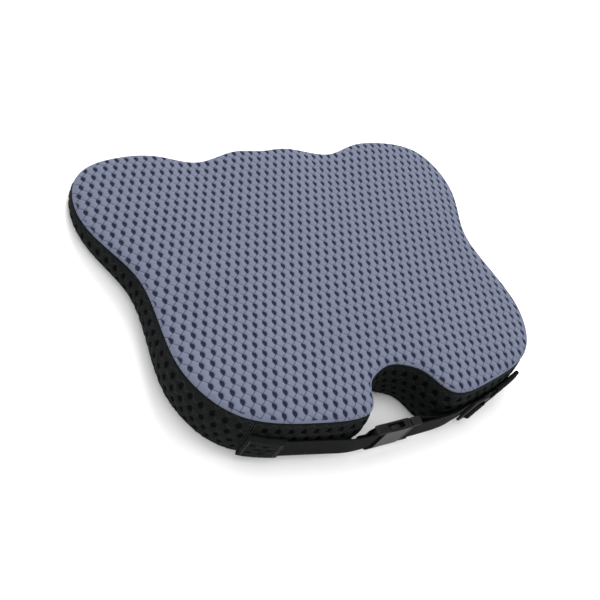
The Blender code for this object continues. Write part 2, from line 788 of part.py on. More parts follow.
def foldedPath(side, barX, returnLength):
    """From the tab to a bar, round it, and back on the inner side."""
    guide, outer = strapGuide()
    start = pocketStart() + guide[5:]
    if side < 0:
        start = mirrored(start)
    straight = [np.array([barX + side * 0.0150, outer]), np.array([barX + side * 0.0010, outer])]
    run = smoothPath(start + straight, 30)
    around = turn((barX, buckleY()), 90.0, 90.0 + side * 180.0)
    inner = buckleY() - TURN_RADIUS
    settle = outer - WEB_THICK - 2 * LAYER_GAP
    back = [np.array([barX + side * 0.0010, inner]), np.array([barX + side * BAR_WIDTH, inner])]
    clearOfBar = BAR_WIDTH + 0.0060
    for share in (0.0, 0.33, 0.66, 1.0):
        x = barX + side * (clearOfBar + (returnLength - clearOfBar) * share)
        mainY = float(np.interp(side * x, side * run[::-1, 0], run[::-1, 1]))
        blend = min(1.0, 0.3 + share * 2.0)
        y = (1 - blend) * inner + blend * (mainY - WEB_THICK - LAYER_GAP)
        back.append(np.array([x, min(y, settle)]))
    back = smoothPath(back, 10)
    path = np.vstack([run, np.array(around), back])
    sagStart = len(run) + len(around)
    return path, sagStart


def strap(name, side, barX, returnLength, sag):
    path, sagStart = foldedPath(side, barX, returnLength)
    past = np.abs(path[:, 0] - barX) - SAG_START
    share = np.clip(past / (returnLength - SAG_START), 0.0, 1.0)
    share[:sagStart] = 0.0
    middle = STRAP_Z - sag * share * share * (3 - 2 * share)
    rings = sweptRings(path, WEB_THICK / 2, WEB_WIDTH / 2, middle)
    return placed(name, loftShape(rings), webbing())


def socketBarX():
    return MOUTH_X + SOCKET_LENGTH - BAR_WIDTH


def plugBarX():
    return MOUTH_X - PLUG_BASE + BAR_WIDTH


def straps():
    strap("strap_left", 1.0, socketBarX(), SOCKET_RETURN, 0.0)
    strap("strap_right", -1.0, plugBarX(), PLUG_RETURN, RETURN_SAG)


# ---------------------------------------------------------------- buckle

def buckleSocket():
    """Hollow half of the buckle, with a mouth at -X, side windows and a webbing bar at +X."""
    y = buckleY()
    half = BUCKLE_HEIGHT / 2
    thick = BUCKLE_THICK / 2
    low = (MOUTH_X, y - thick, STRAP_Z - half)
    high = (MOUTH_X + SOCKET_LENGTH, y + thick, STRAP_Z + half)
    body = placed("buckle_socket", boxShape(low, high, 0.0022, 3), blackPlastic())
    cavity = CAVITY_THICK / 2
    cut(body, boxCutter("socket_cavity_cutter", (MOUTH_X - 0.01, y - cavity, STRAP_Z - CAVITY_HALF),
                        (MOUTH_X + CAVITY_DEPTH, y + cavity, STRAP_Z + CAVITY_HALF)))
    start = MOUTH_X + WINDOW_START
    cut(body, boxCutter("socket_window_cutter", (start, y - cavity, STRAP_Z - BUCKLE_HEIGHT),
                        (start + WINDOW_LENGTH, y + cavity, STRAP_Z + BUCKLE_HEIGHT)))
    for name, side in (("socket_scoop_high_cutter", 1.0), ("socket_scoop_low_cutter", -1.0)):
        centre = STRAP_Z + side * (half + SCOOP_RADIUS - SCOOP_DEPTH)
        ring = []
        for k in range(48):
            angle = 2.0 * math.pi * (k + 0.5) / 48
            ring.append((start + WINDOW_LENGTH / 2 + SCOOP_RADIUS * math.cos(angle),
                         centre + SCOOP_RADIUS * math.sin(angle)))
        scoop = prismShape(ring, y - BUCKLE_THICK, y + BUCKLE_THICK, "y")
        cut(body, placed(name, scoop, blackPlastic()))
    slotEnd = socketBarX()
    slotHalf = WEB_WIDTH / 2 + 2 * WEB_CLEAR
    cut(body, boxCutter("socket_slot_cutter",
                        (slotEnd - SLOT_WIDTH, y - BUCKLE_THICK, STRAP_Z - slotHalf),
                        (slotEnd, y + BUCKLE_THICK, STRAP_Z + slotHalf)))
    barSkim = (BUCKLE_THICK - BAR_THICK) / 2
    for name, side in (("socket_bar_out_cutter", 1.0), ("socket_bar_in_cutter", -1.0)):
        edges = sorted((y + side * BAR_THICK / 2, y + side * (BAR_THICK / 2 + barSkim + 0.01)))
        cut(body, boxCutter(name, (slotEnd - 0.0010, edges[0], STRAP_Z - slotHalf),
                            (slotEnd + BAR_WIDTH + 0.01, edges[1], STRAP_Z + slotHalf)))
    return body


def bucklePlug():
    """Solid half of the buckle: a base with a webbing bar, and a guide tongue."""
    y = buckleY()
    end = MOUTH_X - MOUTH_GAP
    start = MOUTH_X - PLUG_BASE
    half = BUCKLE_HEIGHT / 2
    tongue = CAVITY_THICK / 2 - ARM_RUN
    low = STRAP_Z - half
    high = STRAP_Z + half
    tip = MOUTH_X + TONGUE_LENGTH
    neck = ARM_ROOT_Z - ARM_HEIGHT / 2 - ARM_RUN
    thick = BUCKLE_THICK / 2 - 0.0006
    base = placed("buckle_plug", boxShape((start, y - thick, low), (end, y + thick, high), 0.0018, 3),
                  blackPlastic(), origin=(MOUTH_X, y, STRAP_Z))
    outline = [(end - 0.0020, STRAP_Z - neck), (MOUTH_X + 0.0060, STRAP_Z - TONGUE_HALF),
               (tip - 0.0040, STRAP_Z - TONGUE_HALF), (tip, STRAP_Z - TONGUE_HALF + 0.0025),
               (tip, STRAP_Z + TONGUE_HALF - 0.0025), (tip - 0.0040, STRAP_Z + TONGUE_HALF),
               (MOUTH_X + 0.0060, STRAP_Z + TONGUE_HALF), (end - 0.0020, STRAP_Z + neck)]
    guide = placed("plug_tongue_guide", prismShape(outline, y - tongue, y + tongue, "y"), blackPlastic())
    guide.hide_render = True
    guide.display_type = "WIRE"
    join = base.modifiers.new("plug_tongue", "BOOLEAN")
    join.operation = "UNION"
    join.solver = "EXACT"
    join.object = guide
    slotStart = plugBarX()
    slotHalf = WEB_WIDTH / 2 + 2 * WEB_CLEAR
    cut(base, boxCutter("plug_slot_cutter", (slotStart, y - BUCKLE_THICK, STRAP_Z - slotHalf),
                        (slotStart + SLOT_WIDTH, y + BUCKLE_THICK, STRAP_Z + slotHalf)))
    for name, side in (("plug_bar_out_cutter", 1.0), ("plug_bar_in_cutter", -1.0)):
        edges = sorted((y + side * BAR_THICK / 2, y + side * BUCKLE_THICK))
        cut(base, boxCutter(name, (slotStart - BAR_WIDTH - 0.01, edges[0], STRAP_Z - slotHalf),
                            (slotStart + 0.0010, edges[1], STRAP_Z + slotHalf)))
    return base


def buckleArm(name, side, plug):
    """A spring arm with the pad that is pressed, seen through the socket's window."""
    y = buckleY()
    x = MOUTH_X + ARM_PIVOT
    z = STRAP_Z + side * ARM_ROOT_Z
    hinge = pivot(name + "_pivot", (x, y, z), plug)
    limit = CAVITY_HALF - WEB_CLEAR
    low = ARM_ROOT_Z - ARM_HEIGHT / 2
    high = ARM_ROOT_Z + ARM_HEIGHT / 2
    root = MOUTH_X - MOUTH_GAP + WEB_CLEAR + 0.0006
    tip = MOUTH_X + ARM_LENGTH
    pad = tip - PAD_LENGTH
    profile = [(root, low), (pad, low + 0.0004), (tip - 0.0080, low + 0.0012), (tip - 0.0010, low - 0.0010),
               (tip, low + 0.0004), (tip, low + 0.0022), (tip - 0.0060, limit - 0.0004),
               (tip - PAD_LENGTH / 2, limit), (pad + 0.0010, limit - 0.0002), (pad - 0.0010, high),
               (root, high)]
    outline = [(a, STRAP_Z + side * b) for a, b in profile]
    half = ARM_THICK / 2 - ARM_RUN / 2
    shape = prismShape(outline, y - half, y + half, "y")
    placed(name, shape, blackPlastic(), origin=(x, y, z), parent=hinge)


def buckle():
    buckleSocket()
    plug = bucklePlug()
    bpy.context.view_layer.update()
    buckleArm("buckle_arm_upper", 1.0, plug)
    buckleArm("buckle_arm_lower", -1.0, plug)


# ---------------------------------------------------------------- adjuster

def glideFrame():
    """Centre of the tri-glide in plan, and its turn about Z: it lies on the taut run's outer face."""
    guide, outer = strapGuide()
    start = guide[4] * np.array([-1.0, 1.0])
    end = np.array([-STRAIGHT_END_X, outer])
    along = (end - start) / np.linalg.norm(end - start)
    out = np.array([-along[1], along[0]])
    on = start + along * (GLIDE_X - start[0]) / along[0]
    centre = on + out * (WEB_THICK / 2 + GLIDE_CLEAR + GLIDE_THICK / 2)
    return centre, math.atan2(along[1], along[0])


def turned(shape, centre, angle):
    """Turn a bmesh built about the origin by an angle about Z and set it on a plan point."""
    bmesh.ops.rotate(shape, verts=shape.verts, cent=(0.0, 0.0, 0.0),
                     matrix=Matrix.Rotation(angle, 3, "Z"))
    bmesh.ops.translate(shape, verts=shape.verts, vec=(centre[0], centre[1], STRAP_Z))
    return shape


def strapAdjuster():
    """The tri-glide's frame: three bars and two slots."""
    centre, angle = glideFrame()
    half = Vector((GLIDE_LENGTH / 2, GLIDE_THICK / 2, GLIDE_HEIGHT / 2))
    shape = turned(boxShape(-half, half, GLIDE_ROUND, 2), centre, angle)
    body = placed("strap_adjuster", shape, blackPlastic(), origin=(*centre, STRAP_Z))
    slotHalf = WEB_WIDTH / 2 + 2 * WEB_CLEAR
    for name, side in (("glide_slot_left_cutter", 1.0), ("glide_slot_right_cutter", -1.0)):
        ends = sorted((side * GLIDE_BAR / 2, side * (GLIDE_BAR / 2 + GLIDE_SLOT)))
        slot = boxShape((ends[0], -GLIDE_THICK, -slotHalf), (ends[1], GLIDE_THICK, slotHalf))
        cut(body, placed(name, turned(slot, centre, angle), blackPlastic()))
    return body


def adjusterLoop(frame):
    """The fold of webbing over the tri-glide's centre bar."""
    centre, angle = glideFrame()
    foot = -GLIDE_THICK / 2
    path = [(LOOP_RADIUS, foot), (LOOP_RADIUS, foot / 4)]
    for k in range(9):
        share = math.pi * k / 8
        path.append((LOOP_RADIUS * math.cos(share), LOOP_RADIUS * math.sin(share)))
    path += [(-LOOP_RADIUS, foot / 4), (-LOOP_RADIUS, foot)]
    rings = sweptRings(path, WEB_THICK / 2, WEB_WIDTH / 2, 0.0)
    shape = turned(loftShape(rings), centre, angle)
    placed("adjuster_loop", shape, webbing(), origin=(*centre, STRAP_Z), parent=frame)


def adjuster():
    frame = strapAdjuster()
    bpy.context.view_layer.update()
    adjusterLoop(frame)


# ---------------------------------------------------------------- assembly

def build():
    clearScene()
    foamCore()
    topPanel()
    sideBands()
    basePanel("bottom_panel_front", True)
    basePanel("bottom_panel_rear", False)
    zipTapes()
    zipCoils()
    zipStops()
    slider = zipSlider()
    bpy.context.view_layer.update()
    zipPull(slider)
    tab("tab_left", 1.0)
    tab("tab_right", -1.0)
    straps()
    buckle()
    adjuster()


build()
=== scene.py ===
# Wedge seat cushion with a tail-bone notch: mesh cover, zipped base, buckled strap.
import math

import bpy
import numpy as np
from mathutils import Matrix, Vector
from mathutils.geometry import delaunay_2d_cdt


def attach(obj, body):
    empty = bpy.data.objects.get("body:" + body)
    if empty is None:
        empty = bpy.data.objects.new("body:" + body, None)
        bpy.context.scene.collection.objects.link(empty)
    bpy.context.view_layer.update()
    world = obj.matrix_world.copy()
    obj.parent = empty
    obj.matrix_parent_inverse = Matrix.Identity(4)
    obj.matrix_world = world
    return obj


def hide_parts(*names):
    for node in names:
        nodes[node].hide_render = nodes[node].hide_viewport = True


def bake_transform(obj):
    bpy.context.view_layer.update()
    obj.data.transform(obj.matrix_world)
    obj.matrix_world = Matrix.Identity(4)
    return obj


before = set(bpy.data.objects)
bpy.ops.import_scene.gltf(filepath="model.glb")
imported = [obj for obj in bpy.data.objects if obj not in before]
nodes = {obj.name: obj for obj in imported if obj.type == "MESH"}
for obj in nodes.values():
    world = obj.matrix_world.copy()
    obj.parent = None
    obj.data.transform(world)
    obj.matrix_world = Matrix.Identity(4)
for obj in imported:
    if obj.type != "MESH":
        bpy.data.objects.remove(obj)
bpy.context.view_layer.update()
print("frame loaded")

# The cushion's plan and its heights, in metres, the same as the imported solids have.
cushion = {
    "frontReach": 0.1675, "rearReach": 0.1755, "frontHalf": 0.2250, "frontWidest": 0.0750,
    "waistHalf": 0.1940, "rearHalf": 0.1965, "bumpHalf": 0.0360, "bumpBack": 0.0035,
    "grooveX": 0.0800, "grooveDip": 0.0140, "lobeX": 0.1190,
    "notchHalf": 0.0345, "notchDepth": 0.0440, "notchTip": 0.0165, "notchShift": -0.0040,
    "frontHeight": 0.0170, "rearHeight": 0.0660, "wedgeStart": 0.0450, "wedgeBlend": 0.0140,
    "crown": 0.0055, "crownReach": 0.0140, "grooveDepth": 0.0040, "grooveSpread": 0.0260,
    "seatDish": 0.0035, "bulge": 0.0050, "bulgeFull": 0.0450,
    "topThick": 0.0030, "bandThick": 0.0030, "baseThick": 0.0024, "sewnGap": 0.0003,
    "seamX": 0.1520, "zipY": -0.0600, "zipTrough": 0.0150,
    "bumpLean": 0.0008, "lobeBack": 0.0038, "cornerInset": 0.0630, "cornerBack": 0.0015,
    "shoulderInset": 0.0140, "shoulderBack": 0.0205, "sidePull": 0.0035, "sideShift": 0.0880,
    "waistY": 0.0045, "rearWidest": 0.1110, "hipInset": 0.0065, "hipBack": 0.0650,
    "rearCornerInset": 0.0370, "rearCornerBack": 0.0235, "rearFlatInset": 0.0960, "rearFlatBack": 0.0035,
    "notchWall": 0.0240, "notchRound": 0.55, "notchRise": 0.0055,
    "grooveFade": 1.5, "dishHalfX": 0.13, "dishHalfY": 0.075, "dishY": 0.045,
}


def outlineStations():
    # the right half's stations from the front centre to the notch, then their mirror image
    c = cushion
    front, rear = -c["frontReach"], c["rearReach"]
    half = [
        (0.0, front + c["bumpBack"]),
        (c["bumpHalf"], front + c["bumpBack"] - c["bumpLean"]),
        (c["grooveX"], front + c["grooveDip"]),
        (c["lobeX"], front + c["lobeBack"]),
        (c["frontHalf"] - c["cornerInset"], front + c["cornerBack"]),
        (c["frontHalf"] - c["shoulderInset"], front + c["shoulderBack"]),
        (c["frontHalf"], front + c["frontWidest"]),
        ((c["frontHalf"] + c["waistHalf"]) / 2 - c["sidePull"],
         (2 * front + c["frontWidest"] + c["waistY"]) / 2 + c["sideShift"]),
        (c["waistHalf"], c["waistY"]),
        (c["rearHalf"], rear - c["rearWidest"]),
        (c["rearHalf"] - c["hipInset"], rear - c["hipBack"]),
        (c["rearHalf"] - c["rearCornerInset"], rear - c["rearCornerBack"]),
        (c["rearHalf"] - c["rearFlatInset"], rear - c["rearFlatBack"]),
        (c["notchHalf"] + c["notchTip"], rear),
        (c["notchHalf"], rear - c["notchWall"]),
        (c["notchHalf"] * c["notchRound"], rear - c["notchDepth"] + c["notchRise"]),
        (0.0, rear - c["notchDepth"]),
    ]
    whole = np.array(half + [(-x, y) for x, y in half[-2:0:-1]])
    middle = len(half) - 1
    whole[middle - 3:middle + 4, 0] += c["notchShift"]
    return whole


stations = outlineStations()
spans = len(stations)
system = 4.0 * np.eye(spans) + np.roll(np.eye(spans), 1, 0) + np.roll(np.eye(spans), -1, 0)
turns = np.roll(stations, 1, 0) - 2 * stations + np.roll(stations, -1, 0)
bends = np.linalg.solve(system, 6.0 * turns)


def onOutline(at):
    # a closed cubic: the chord between two stations, plus each end's bend times its cubic weight
    at = np.asarray(at, float) % spans
    k = np.minimum(at.astype(int), spans - 1)
    n = (k + 1) % spans
    b = (at - k)[:, None]
    a = 1.0 - b
    return a * stations[k] + b * stations[n] + ((a ** 3 - a) * bends[k] + (b ** 3 - b) * bends[n]) / 6.0


def ring(at, offset=0.0):
    # the outline's points, moved outwards along the plan normal by the offset
    at = np.asarray(at, float)
    ahead = onOutline(at + 0.02) - onOutline(at - 0.02)
    normal = np.stack([ahead[:, 1], -ahead[:, 0]], axis=1)
    normal /= np.linalg.norm(normal, axis=1)[:, None]
    return onOutline(at) + normal * np.reshape(offset, (-1, 1))


def rimHeight(y):
    # level along the front, then a straight slope: the logarithm of one plus an exponential
    c = cushion
    start, soft = -c["frontReach"] + c["wedgeStart"], c["wedgeBlend"]
    slope = (c["rearHeight"] - c["frontHeight"]) / (c["rearReach"] - start)
    return c["frontHeight"] + slope * soft * np.logaddexp(0.0, (np.asarray(y) - start) / soft)


def wallHeight(y):
    # the side wall ends below the rim by the top's thickness and the seam's gap
    return rimHeight(y) - cushion["topThick"] - cushion["sewnGap"]


def swell(level, tall):
    # half a sine wave over the wall's height, less where the wall is low
    return cushion["bulge"] * np.minimum(1.0, tall / cushion["bulgeFull"]) * np.sin(math.pi * level)


def padHeight(points, inward):
    # the wedge, plus a crown that rises with distance from the rim, less two thigh grooves and a dish
    c = cushion
    x, y = points[:, 0], points[:, 1]
    towardFront = np.clip(-y / c["frontReach"], 0.0, 1.0) ** c["grooveFade"]
    groove = np.exp(-((np.abs(x) - c["grooveX"]) / c["grooveSpread"]) ** 2) * towardFront
    dish = np.exp(-(x / c["dishHalfX"]) ** 2 - ((y - c["dishY"]) / c["dishHalfY"]) ** 2)
    rise = 1.0 - np.exp(-np.maximum(inward, 0.0) / c["crownReach"])
    return rimHeight(y) + rise * (c["crown"] - c["grooveDepth"] * groove - c["seatDish"] * dish)


def lengthAlong(path):
    # the distance from a line's first point to each point, run along the line
    return np.concatenate([[0.0], np.cumsum(np.linalg.norm(np.diff(path, axis=0), axis=1))])


fineAt = np.linspace(0.0, spans, 6401)
fineLength = lengthAlong(onOutline(fineAt))


def evenStations(count, first=0.0, last=spans):
    # stations evenly spaced by arc length between two places on the outline
    low, high = np.interp([first, last], fineAt, fineLength)
    return np.interp(np.linspace(low, high, count), fineLength, fineAt)


def outlineAtX(x):
    # the station on the rear lobe where the outline crosses x
    span = np.linspace(spans / 2 * 0.55, spans / 2 - 3.2, 2000)
    place = float(np.interp(-abs(x), -onOutline(span)[:, 0], span))
    return place if x > 0 else spans - place


def distanceInside(points, rim):
    # the shortest distance from each point to the rim's points, worked out in blocks
    best = []
    for block in np.array_split(points.astype(np.float32), max(1, len(points) // 4000)):
        gap = block[:, None, :] - rim[None, :, :].astype(np.float32)
        best.append(np.sqrt((gap ** 2).sum(axis=2).min(axis=1)))
    return np.concatenate(best).astype(float)


def nearOrInside(points, polygon, reach):
    # the points inside a closed line, and those that lie outside by less than the reach
    return points[insidePolygon(points, polygon) | (distanceInside(points, polygon) < reach)]


def insidePolygon(points, polygon):
    # even-odd rule: how many polygon sides a ray to +X crosses
    inside = np.zeros(len(points), bool)
    x, y = points[:, 0], points[:, 1]
    for (ax, ay), (bx, by) in zip(polygon, np.roll(polygon, -1, axis=0)):
        crosses = (ay > y) != (by > y)
        if crosses.any():
            edge = ax + (y[crosses] - ay) / (by - ay) * (bx - ax)
            inside[crosses] ^= x[crosses] < edge
    return inside


def placed(name, data):
    # a new object in the scene that carries the data
    made = bpy.data.objects.new(name, data)
    bpy.context.scene.collection.objects.link(made)
    return made


def newPiece(name, points, faces, smooth=True):
    # an object with a new mesh of the points and faces
    mesh = bpy.data.meshes.new(name)
    mesh.from_pydata(np.asarray(points).tolist(), [], [list(map(int, face)) for face in faces])
    mesh.polygons.foreach_set("use_smooth", np.full(len(mesh.polygons), smooth))
    mesh.update()
    return placed(name, mesh)


def columns(*parts):
    # points from their coordinates, any of which may be one plain number
    return np.column_stack(np.broadcast_arrays(*parts))


def circle(count, radius):
    # the corners of a regular polygon: cosine and sine of even turns, times the radius
    angle = np.arange(count) * 2 * math.pi / count
    return np.stack([np.cos(angle), np.sin(angle)], axis=1) * radius


def gridFaces(rows, cols, closed=False):
    # quads between each row of points and the next, with a face over both ends unless the rows close
    index = np.arange(rows * cols).reshape(rows, cols)
    here, after = (index, np.roll(index, -1, 0)) if closed else (index[:-1], index[1:])
    quads = np.stack([here, np.roll(here, -1, 1), np.roll(after, -1, 1), after], axis=-1)
    ends = [] if closed else [index[0][::-1].tolist(), index[-1].tolist()]
    return quads.reshape(-1, 4).tolist() + ends


def paint(piece, name, values):
    # one number for each vertex, kept on the mesh for its material
    layer = piece.data.attributes.new(name, "FLOAT", "POINT")
    layer.data.foreach_set("value", np.asarray(values, np.float32))


def paintFirst(piece, name, values):
    # values for the first vertices, and nought for the others
    every = np.zeros(len(piece.data.vertices))
    every[:len(values)] = values
    paint(piece, name, every)


def finished(piece, material, body="cushion", replaced=()):
    # gives a piece its material and its body, and hides the imported nodes that it stands for
    piece.data.materials.clear()
    piece.data.materials.append(material)
    if body:
        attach(piece, body)
    if replaced:
        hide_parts(*replaced)
    return piece


def triangulated(border, extra):
    # triangles of the flat points inside a closed border, with every point kept in its order
    points = np.vstack([border, extra])
    count = len(border)
    edges = [(k, (k + 1) % count) for k in range(count)]
    found = delaunay_2d_cdt([Vector(p) for p in points], edges, [], 1, 1e-7)
    source = [item[0] for item in found[3]]
    return [(source[a], source[b], source[c]) for a, b, c in found[2]]


shellSizes = {"innerGrid": 0.008, "innerMargin": 0.003, "rimClear": 0.0005, "rimFade": 0.0010,
              "rowShare": 0.87, "borderShare": 0.55, "holeShare": 0.35, "pinch": 0.22, "cutShadeTo": 1.15,
              "cutShadeSpan": 0.3}


def punchedShell(name, border, centres, hole, onOuter, onInner, rimRings, grid, lift):
    # a closed shell over a flat border. Each hole is a run of ellipses round its centre, and each ellipse
    # sinks by its own depth; between the holes a fine grid rises by lift(points)
    across, along = hole["across"], hole["along"]
    angle = np.arange(hole["sides"]) * 2 * math.pi / hole["sides"]
    pinch = 1.0 - hole.get("pinch", shellSizes["pinch"]) * np.sin(angle) ** 2
    oval = np.stack([np.cos(angle) * pinch * across, np.sin(angle) * along], axis=1) / 2
    rings, depths = [centres], [np.full(len(centres), hole["depths"][0])]
    for share, depth in zip(hole["shares"][1:], hole["depths"][1:]):
        points = (centres[:, None, :] + oval[None] * share).reshape(-1, 2)
        rings.append(points)
        depths.append(np.full(len(points), depth))
    low, high = border.min(axis=0), border.max(axis=0)
    xs = np.arange(low[0], high[0], grid)
    ys = np.arange(low[1], high[1], grid * shellSizes["rowShare"])
    x, y = np.meshgrid(xs, ys)
    x = x + (np.arange(len(ys)) % 2)[:, None] * grid / 2
    fill = np.stack([x.ravel(), y.ravel()], axis=1)
    fill = fill[insidePolygon(fill, border)]
    fill = fill[distanceInside(fill, border) > grid * shellSizes["borderShare"]]
    size = np.array([across, along]) / 2 * hole["shares"][-1] + grid * shellSizes["holeShare"]
    clear = np.ones(len(fill), bool)
    for start in range(0, len(fill), 4000):
        gap = (fill[start:start + 4000, None, :] - centres[None]) / size
        clear[start:start + 4000] = ((gap ** 2).sum(axis=2) > 1.0).all(axis=1)
    fill = fill[clear]
    rings, depths = np.vstack(rings), np.concatenate(depths)
    fits = insidePolygon(rings, border)
    rings, depths = rings[fits], depths[fits]
    room = distanceInside(rings, border)
    fits = room > shellSizes["rimClear"]
    rings, depths, room = rings[fits], depths[fits], room[fits]
    # the shade: each ring's depth share, and on the border how far into a hole it lies; for holes it paints
    # the inner layer's colour and painted shade, for raised dots their own colour
    cut = ((border[:, None, :] - centres[None]) / np.array([across, along]) * 2) ** 2
    cut = shellSizes["cutShadeTo"] - np.sqrt(cut.sum(axis=2).min(axis=1))
    cutShade = np.clip(cut / shellSizes["cutShadeSpan"], 0.0, 1.0)
    shade = np.concatenate([cutShade, np.abs(depths) / max(map(abs, hole["depths"])), np.zeros(len(fill))])
    flat = np.vstack([rings, fill])
    depths = depths * np.clip(room / shellSizes["rimFade"], 0.0, 1.0)
    depth = np.concatenate([np.zeros(len(border)), depths, np.zeros(len(fill))])
    triangles = triangulated(border, flat)
    every = np.vstack([border, flat])
    rise = lift(every)
    rise[:len(border)] = 0.0
    outer = onOuter(every, rise - depth)
    lines = [np.arange(low[k], high[k], shellSizes["innerGrid"]) for k in range(2)]
    coarse = np.stack(np.meshgrid(*lines), -1).reshape(-1, 2)
    coarse = coarse[insidePolygon(coarse, border)]
    coarse = coarse[distanceInside(coarse, border) > shellSizes["innerMargin"]]
    innerTriangles = triangulated(border, coarse)
    inner = onInner(np.vstack([border, coarse]))
    count = len(border)
    points = [outer] + rimRings + [inner]
    starts = [0]
    for block in points[:-1]:
        starts.append(starts[-1] + len(block))
    faces = list(triangles)
    step = np.arange(count)
    ahead = (step + 1) % count
    for first, second in zip(starts[:-1], starts[1:]):
        faces += np.stack([first + ahead, first + step, second + step, second + ahead], axis=1).tolist()
    faces += [(starts[-1] + c, starts[-1] + b, starts[-1] + a) for a, b, c in innerTriangles]
    piece = newPiece(name, np.vstack(points), faces)
    paintFirst(piece, "pit", shade)
    return piece, every


def staggered(low, high, pitch, row, shift=(0.0, 0.0)):
    # rows of points, every other row moved by half a pitch
    js = np.arange(math.floor(low[1] / row) - 1, math.ceil(high[1] / row) + 2)
    ks = np.arange(math.floor(low[0] / pitch) - 1, math.ceil(high[0] / pitch) + 2)
    k, j = np.meshgrid(ks, js)
    x = (k + 0.5 * (j % 2)) * pitch + shift[0]
    return np.stack([x.ravel(), j.ravel() * row + shift[1]], axis=1)


def swept(name, path, section, upright=None, closed=False, uv=True, wide=1):
    # a section of (side, up) points carried along a path of 3-D points; up is +Z unless given
    path = np.asarray(path, float)
    section = np.asarray(section, float)
    ahead = np.gradient(path, axis=0) if not closed else np.roll(path, -1, 0) - np.roll(path, 1, 0)
    ahead /= np.linalg.norm(ahead, axis=1)[:, None]
    up = np.broadcast_to(np.array([0.0, 0.0, 1.0]) if upright is None else upright, path.shape)
    side = np.cross(ahead, up)
    side /= np.linalg.norm(side, axis=1)[:, None]
    up = np.cross(side, ahead)
    if section.ndim == 2:
        section = np.broadcast_to(section, (len(path),) + section.shape)
    points = path[:, None, :] + side[:, None, :] * section[:, :, :1] + up[:, None, :] * section[:, :, 1:2]
    rows, cols = points.shape[:2]
    piece = newPiece(name, points.reshape(-1, 3), gridFaces(rows, cols, closed))
    if uv:
        paint(piece, "along", np.repeat(lengthAlong(path), cols))
        paint(piece, "across", section[:, :, wide].ravel())
    return piece


def outwards(piece):
    # turns a closed mesh the right way out, from the sign of its volume
    mesh = piece.data
    points = np.zeros(len(mesh.vertices) * 3)
    mesh.vertices.foreach_get("co", points)
    points = points.reshape(-1, 3)
    mesh.calc_loop_triangles()
    corners = np.zeros(len(mesh.loop_triangles) * 3, int)
    mesh.loop_triangles.foreach_get("vertices", corners)
    a, b, c = (points[corners.reshape(-1, 3)[:, k]] for k in range(3))
    if (a * np.cross(b, c)).sum() < 0:
        mesh.flip_normals()
    return piece


def stitches(name, rows, radius, sides=5):
    # short rounded threads, each from a start to an end: three rings and two tips, bowed outwards
    starts, ends, outward = (np.vstack(part) for part in zip(*rows))
    ahead = ends - starts
    length = np.linalg.norm(ahead, axis=1)[:, None]
    ahead = ahead / length
    side = np.cross(ahead, outward)
    side /= np.linalg.norm(side, axis=1)[:, None]
    up = np.cross(side, ahead)
    angle = np.arange(sides) * 2 * math.pi / sides
    blocks = [starts[:, None, :]]
    for share, wide, bow in ((0.12, 0.75, 0.35), (0.5, 1.0, 0.8), (0.88, 0.75, 0.35)):
        centre = starts + ahead * length * share + up * radius * bow
        turn = side[:, None] * np.cos(angle)[None, :, None] + up[:, None] * np.sin(angle)[None, :, None]
        blocks.append(centre[:, None, :] + turn * radius * wide)
    blocks.append(ends[:, None, :])
    points = np.concatenate(blocks, axis=1)
    per = points.shape[1]
    shape = []
    for k in range(sides):
        n = (k + 1) % sides
        shape.append((0, 1 + n, 1 + k))
        for r in range(2):
            a = 1 + r * sides
            shape.append((a + k, a + n, a + sides + n))
            shape.append((a + k, a + sides + n, a + sides + k))
        shape.append((1 + 2 * sides + k, 1 + 2 * sides + n, per - 1))
    shape = np.array(shape)
    faces = (shape[None] + (np.arange(len(starts)) * per)[:, None, None]).reshape(-1, 3)
    return outwards(newPiece(name, points.reshape(-1, 3), faces))


def dashes(path, outward, length, gap, lift):
    # starts and ends of stitches of one length, laid along a path with a gap between them
    path, outward = np.asarray(path, float), np.asarray(outward, float)
    run = lengthAlong(path)
    first = np.arange(gap / 2, run[-1] - length, length + gap)

    def at(places, values):
        return np.stack([np.interp(places, run, values[:, k]) for k in range(3)], axis=1)

    normal = at(first + length / 2, outward)
    normal /= np.linalg.norm(normal, axis=1)[:, None]
    return at(first, path) + normal * lift, at(first + length, path) + normal * lift, normal


topHole = {
    "across": 0.0052, "along": 0.0076, "pitch": 0.0102, "row": 0.0107, "sides": 12,
    "shares": (0.0, 0.60, 0.84, 1.00, 1.26), "depths": (0.0021, 0.0019, 0.00125, 0.00035, 0.0),
    "grid": 0.0017, "puff": 0.00085, "valley": 0.0012, "fork": 0.80, "rimInset": 0.0018, "innerInset": 0.0034,
    "foldOffset": -0.0007, "foldDrop": 0.0006,
    "turnOver": ((0.0002, -0.0008), (0.00045, -0.0017), (0.0, -0.0025), (-0.0009, -0.0030)),
}
bandHole = {
    "across": 0.0060, "along": 0.0084, "pitch": 0.0118, "row": 0.0118, "sides": 12,
    "shares": (0.0, 0.62, 0.86, 1.00, 1.26), "depths": (0.0019, 0.0018, 0.00120, 0.00032, 0.0),
    "grid": 0.0020, "puff": 0.00060, "valley": 0.0012, "fork": 0.80,
    "firstRow": 0.0110, "plainStrip": 0.0088, "edgeStep": 0.0022,
    "turnedEdges": (-0.0009, -0.0021),
}


def newMaterial(name):
    # a node material, its tree and its surface shader
    material = bpy.data.materials.new(name)
    material.use_nodes = True
    tree = material.node_tree
    return material, tree, tree.nodes["Principled BSDF"]


def feed(tree, socket, value):
    # links a value that is another node's socket, and sets a plain one
    if isinstance(value, bpy.types.NodeSocket):
        tree.links.new(value, socket)
    else:
        socket.default_value = value


def addNode(tree, kind, values=(), **settings):
    # a node with its settings made and its inputs fed
    made = tree.nodes.new(kind)
    for key, value in settings.items():
        setattr(made, key, value)
    for key, value in dict(values).items():
        feed(tree, made.inputs[key], value)
    return made


def sums(tree, operation, first, second=0.0):
    # one step of arithmetic on two numbers
    return addNode(tree, "ShaderNodeMath", {0: first, 1: second}, operation=operation).outputs[0]


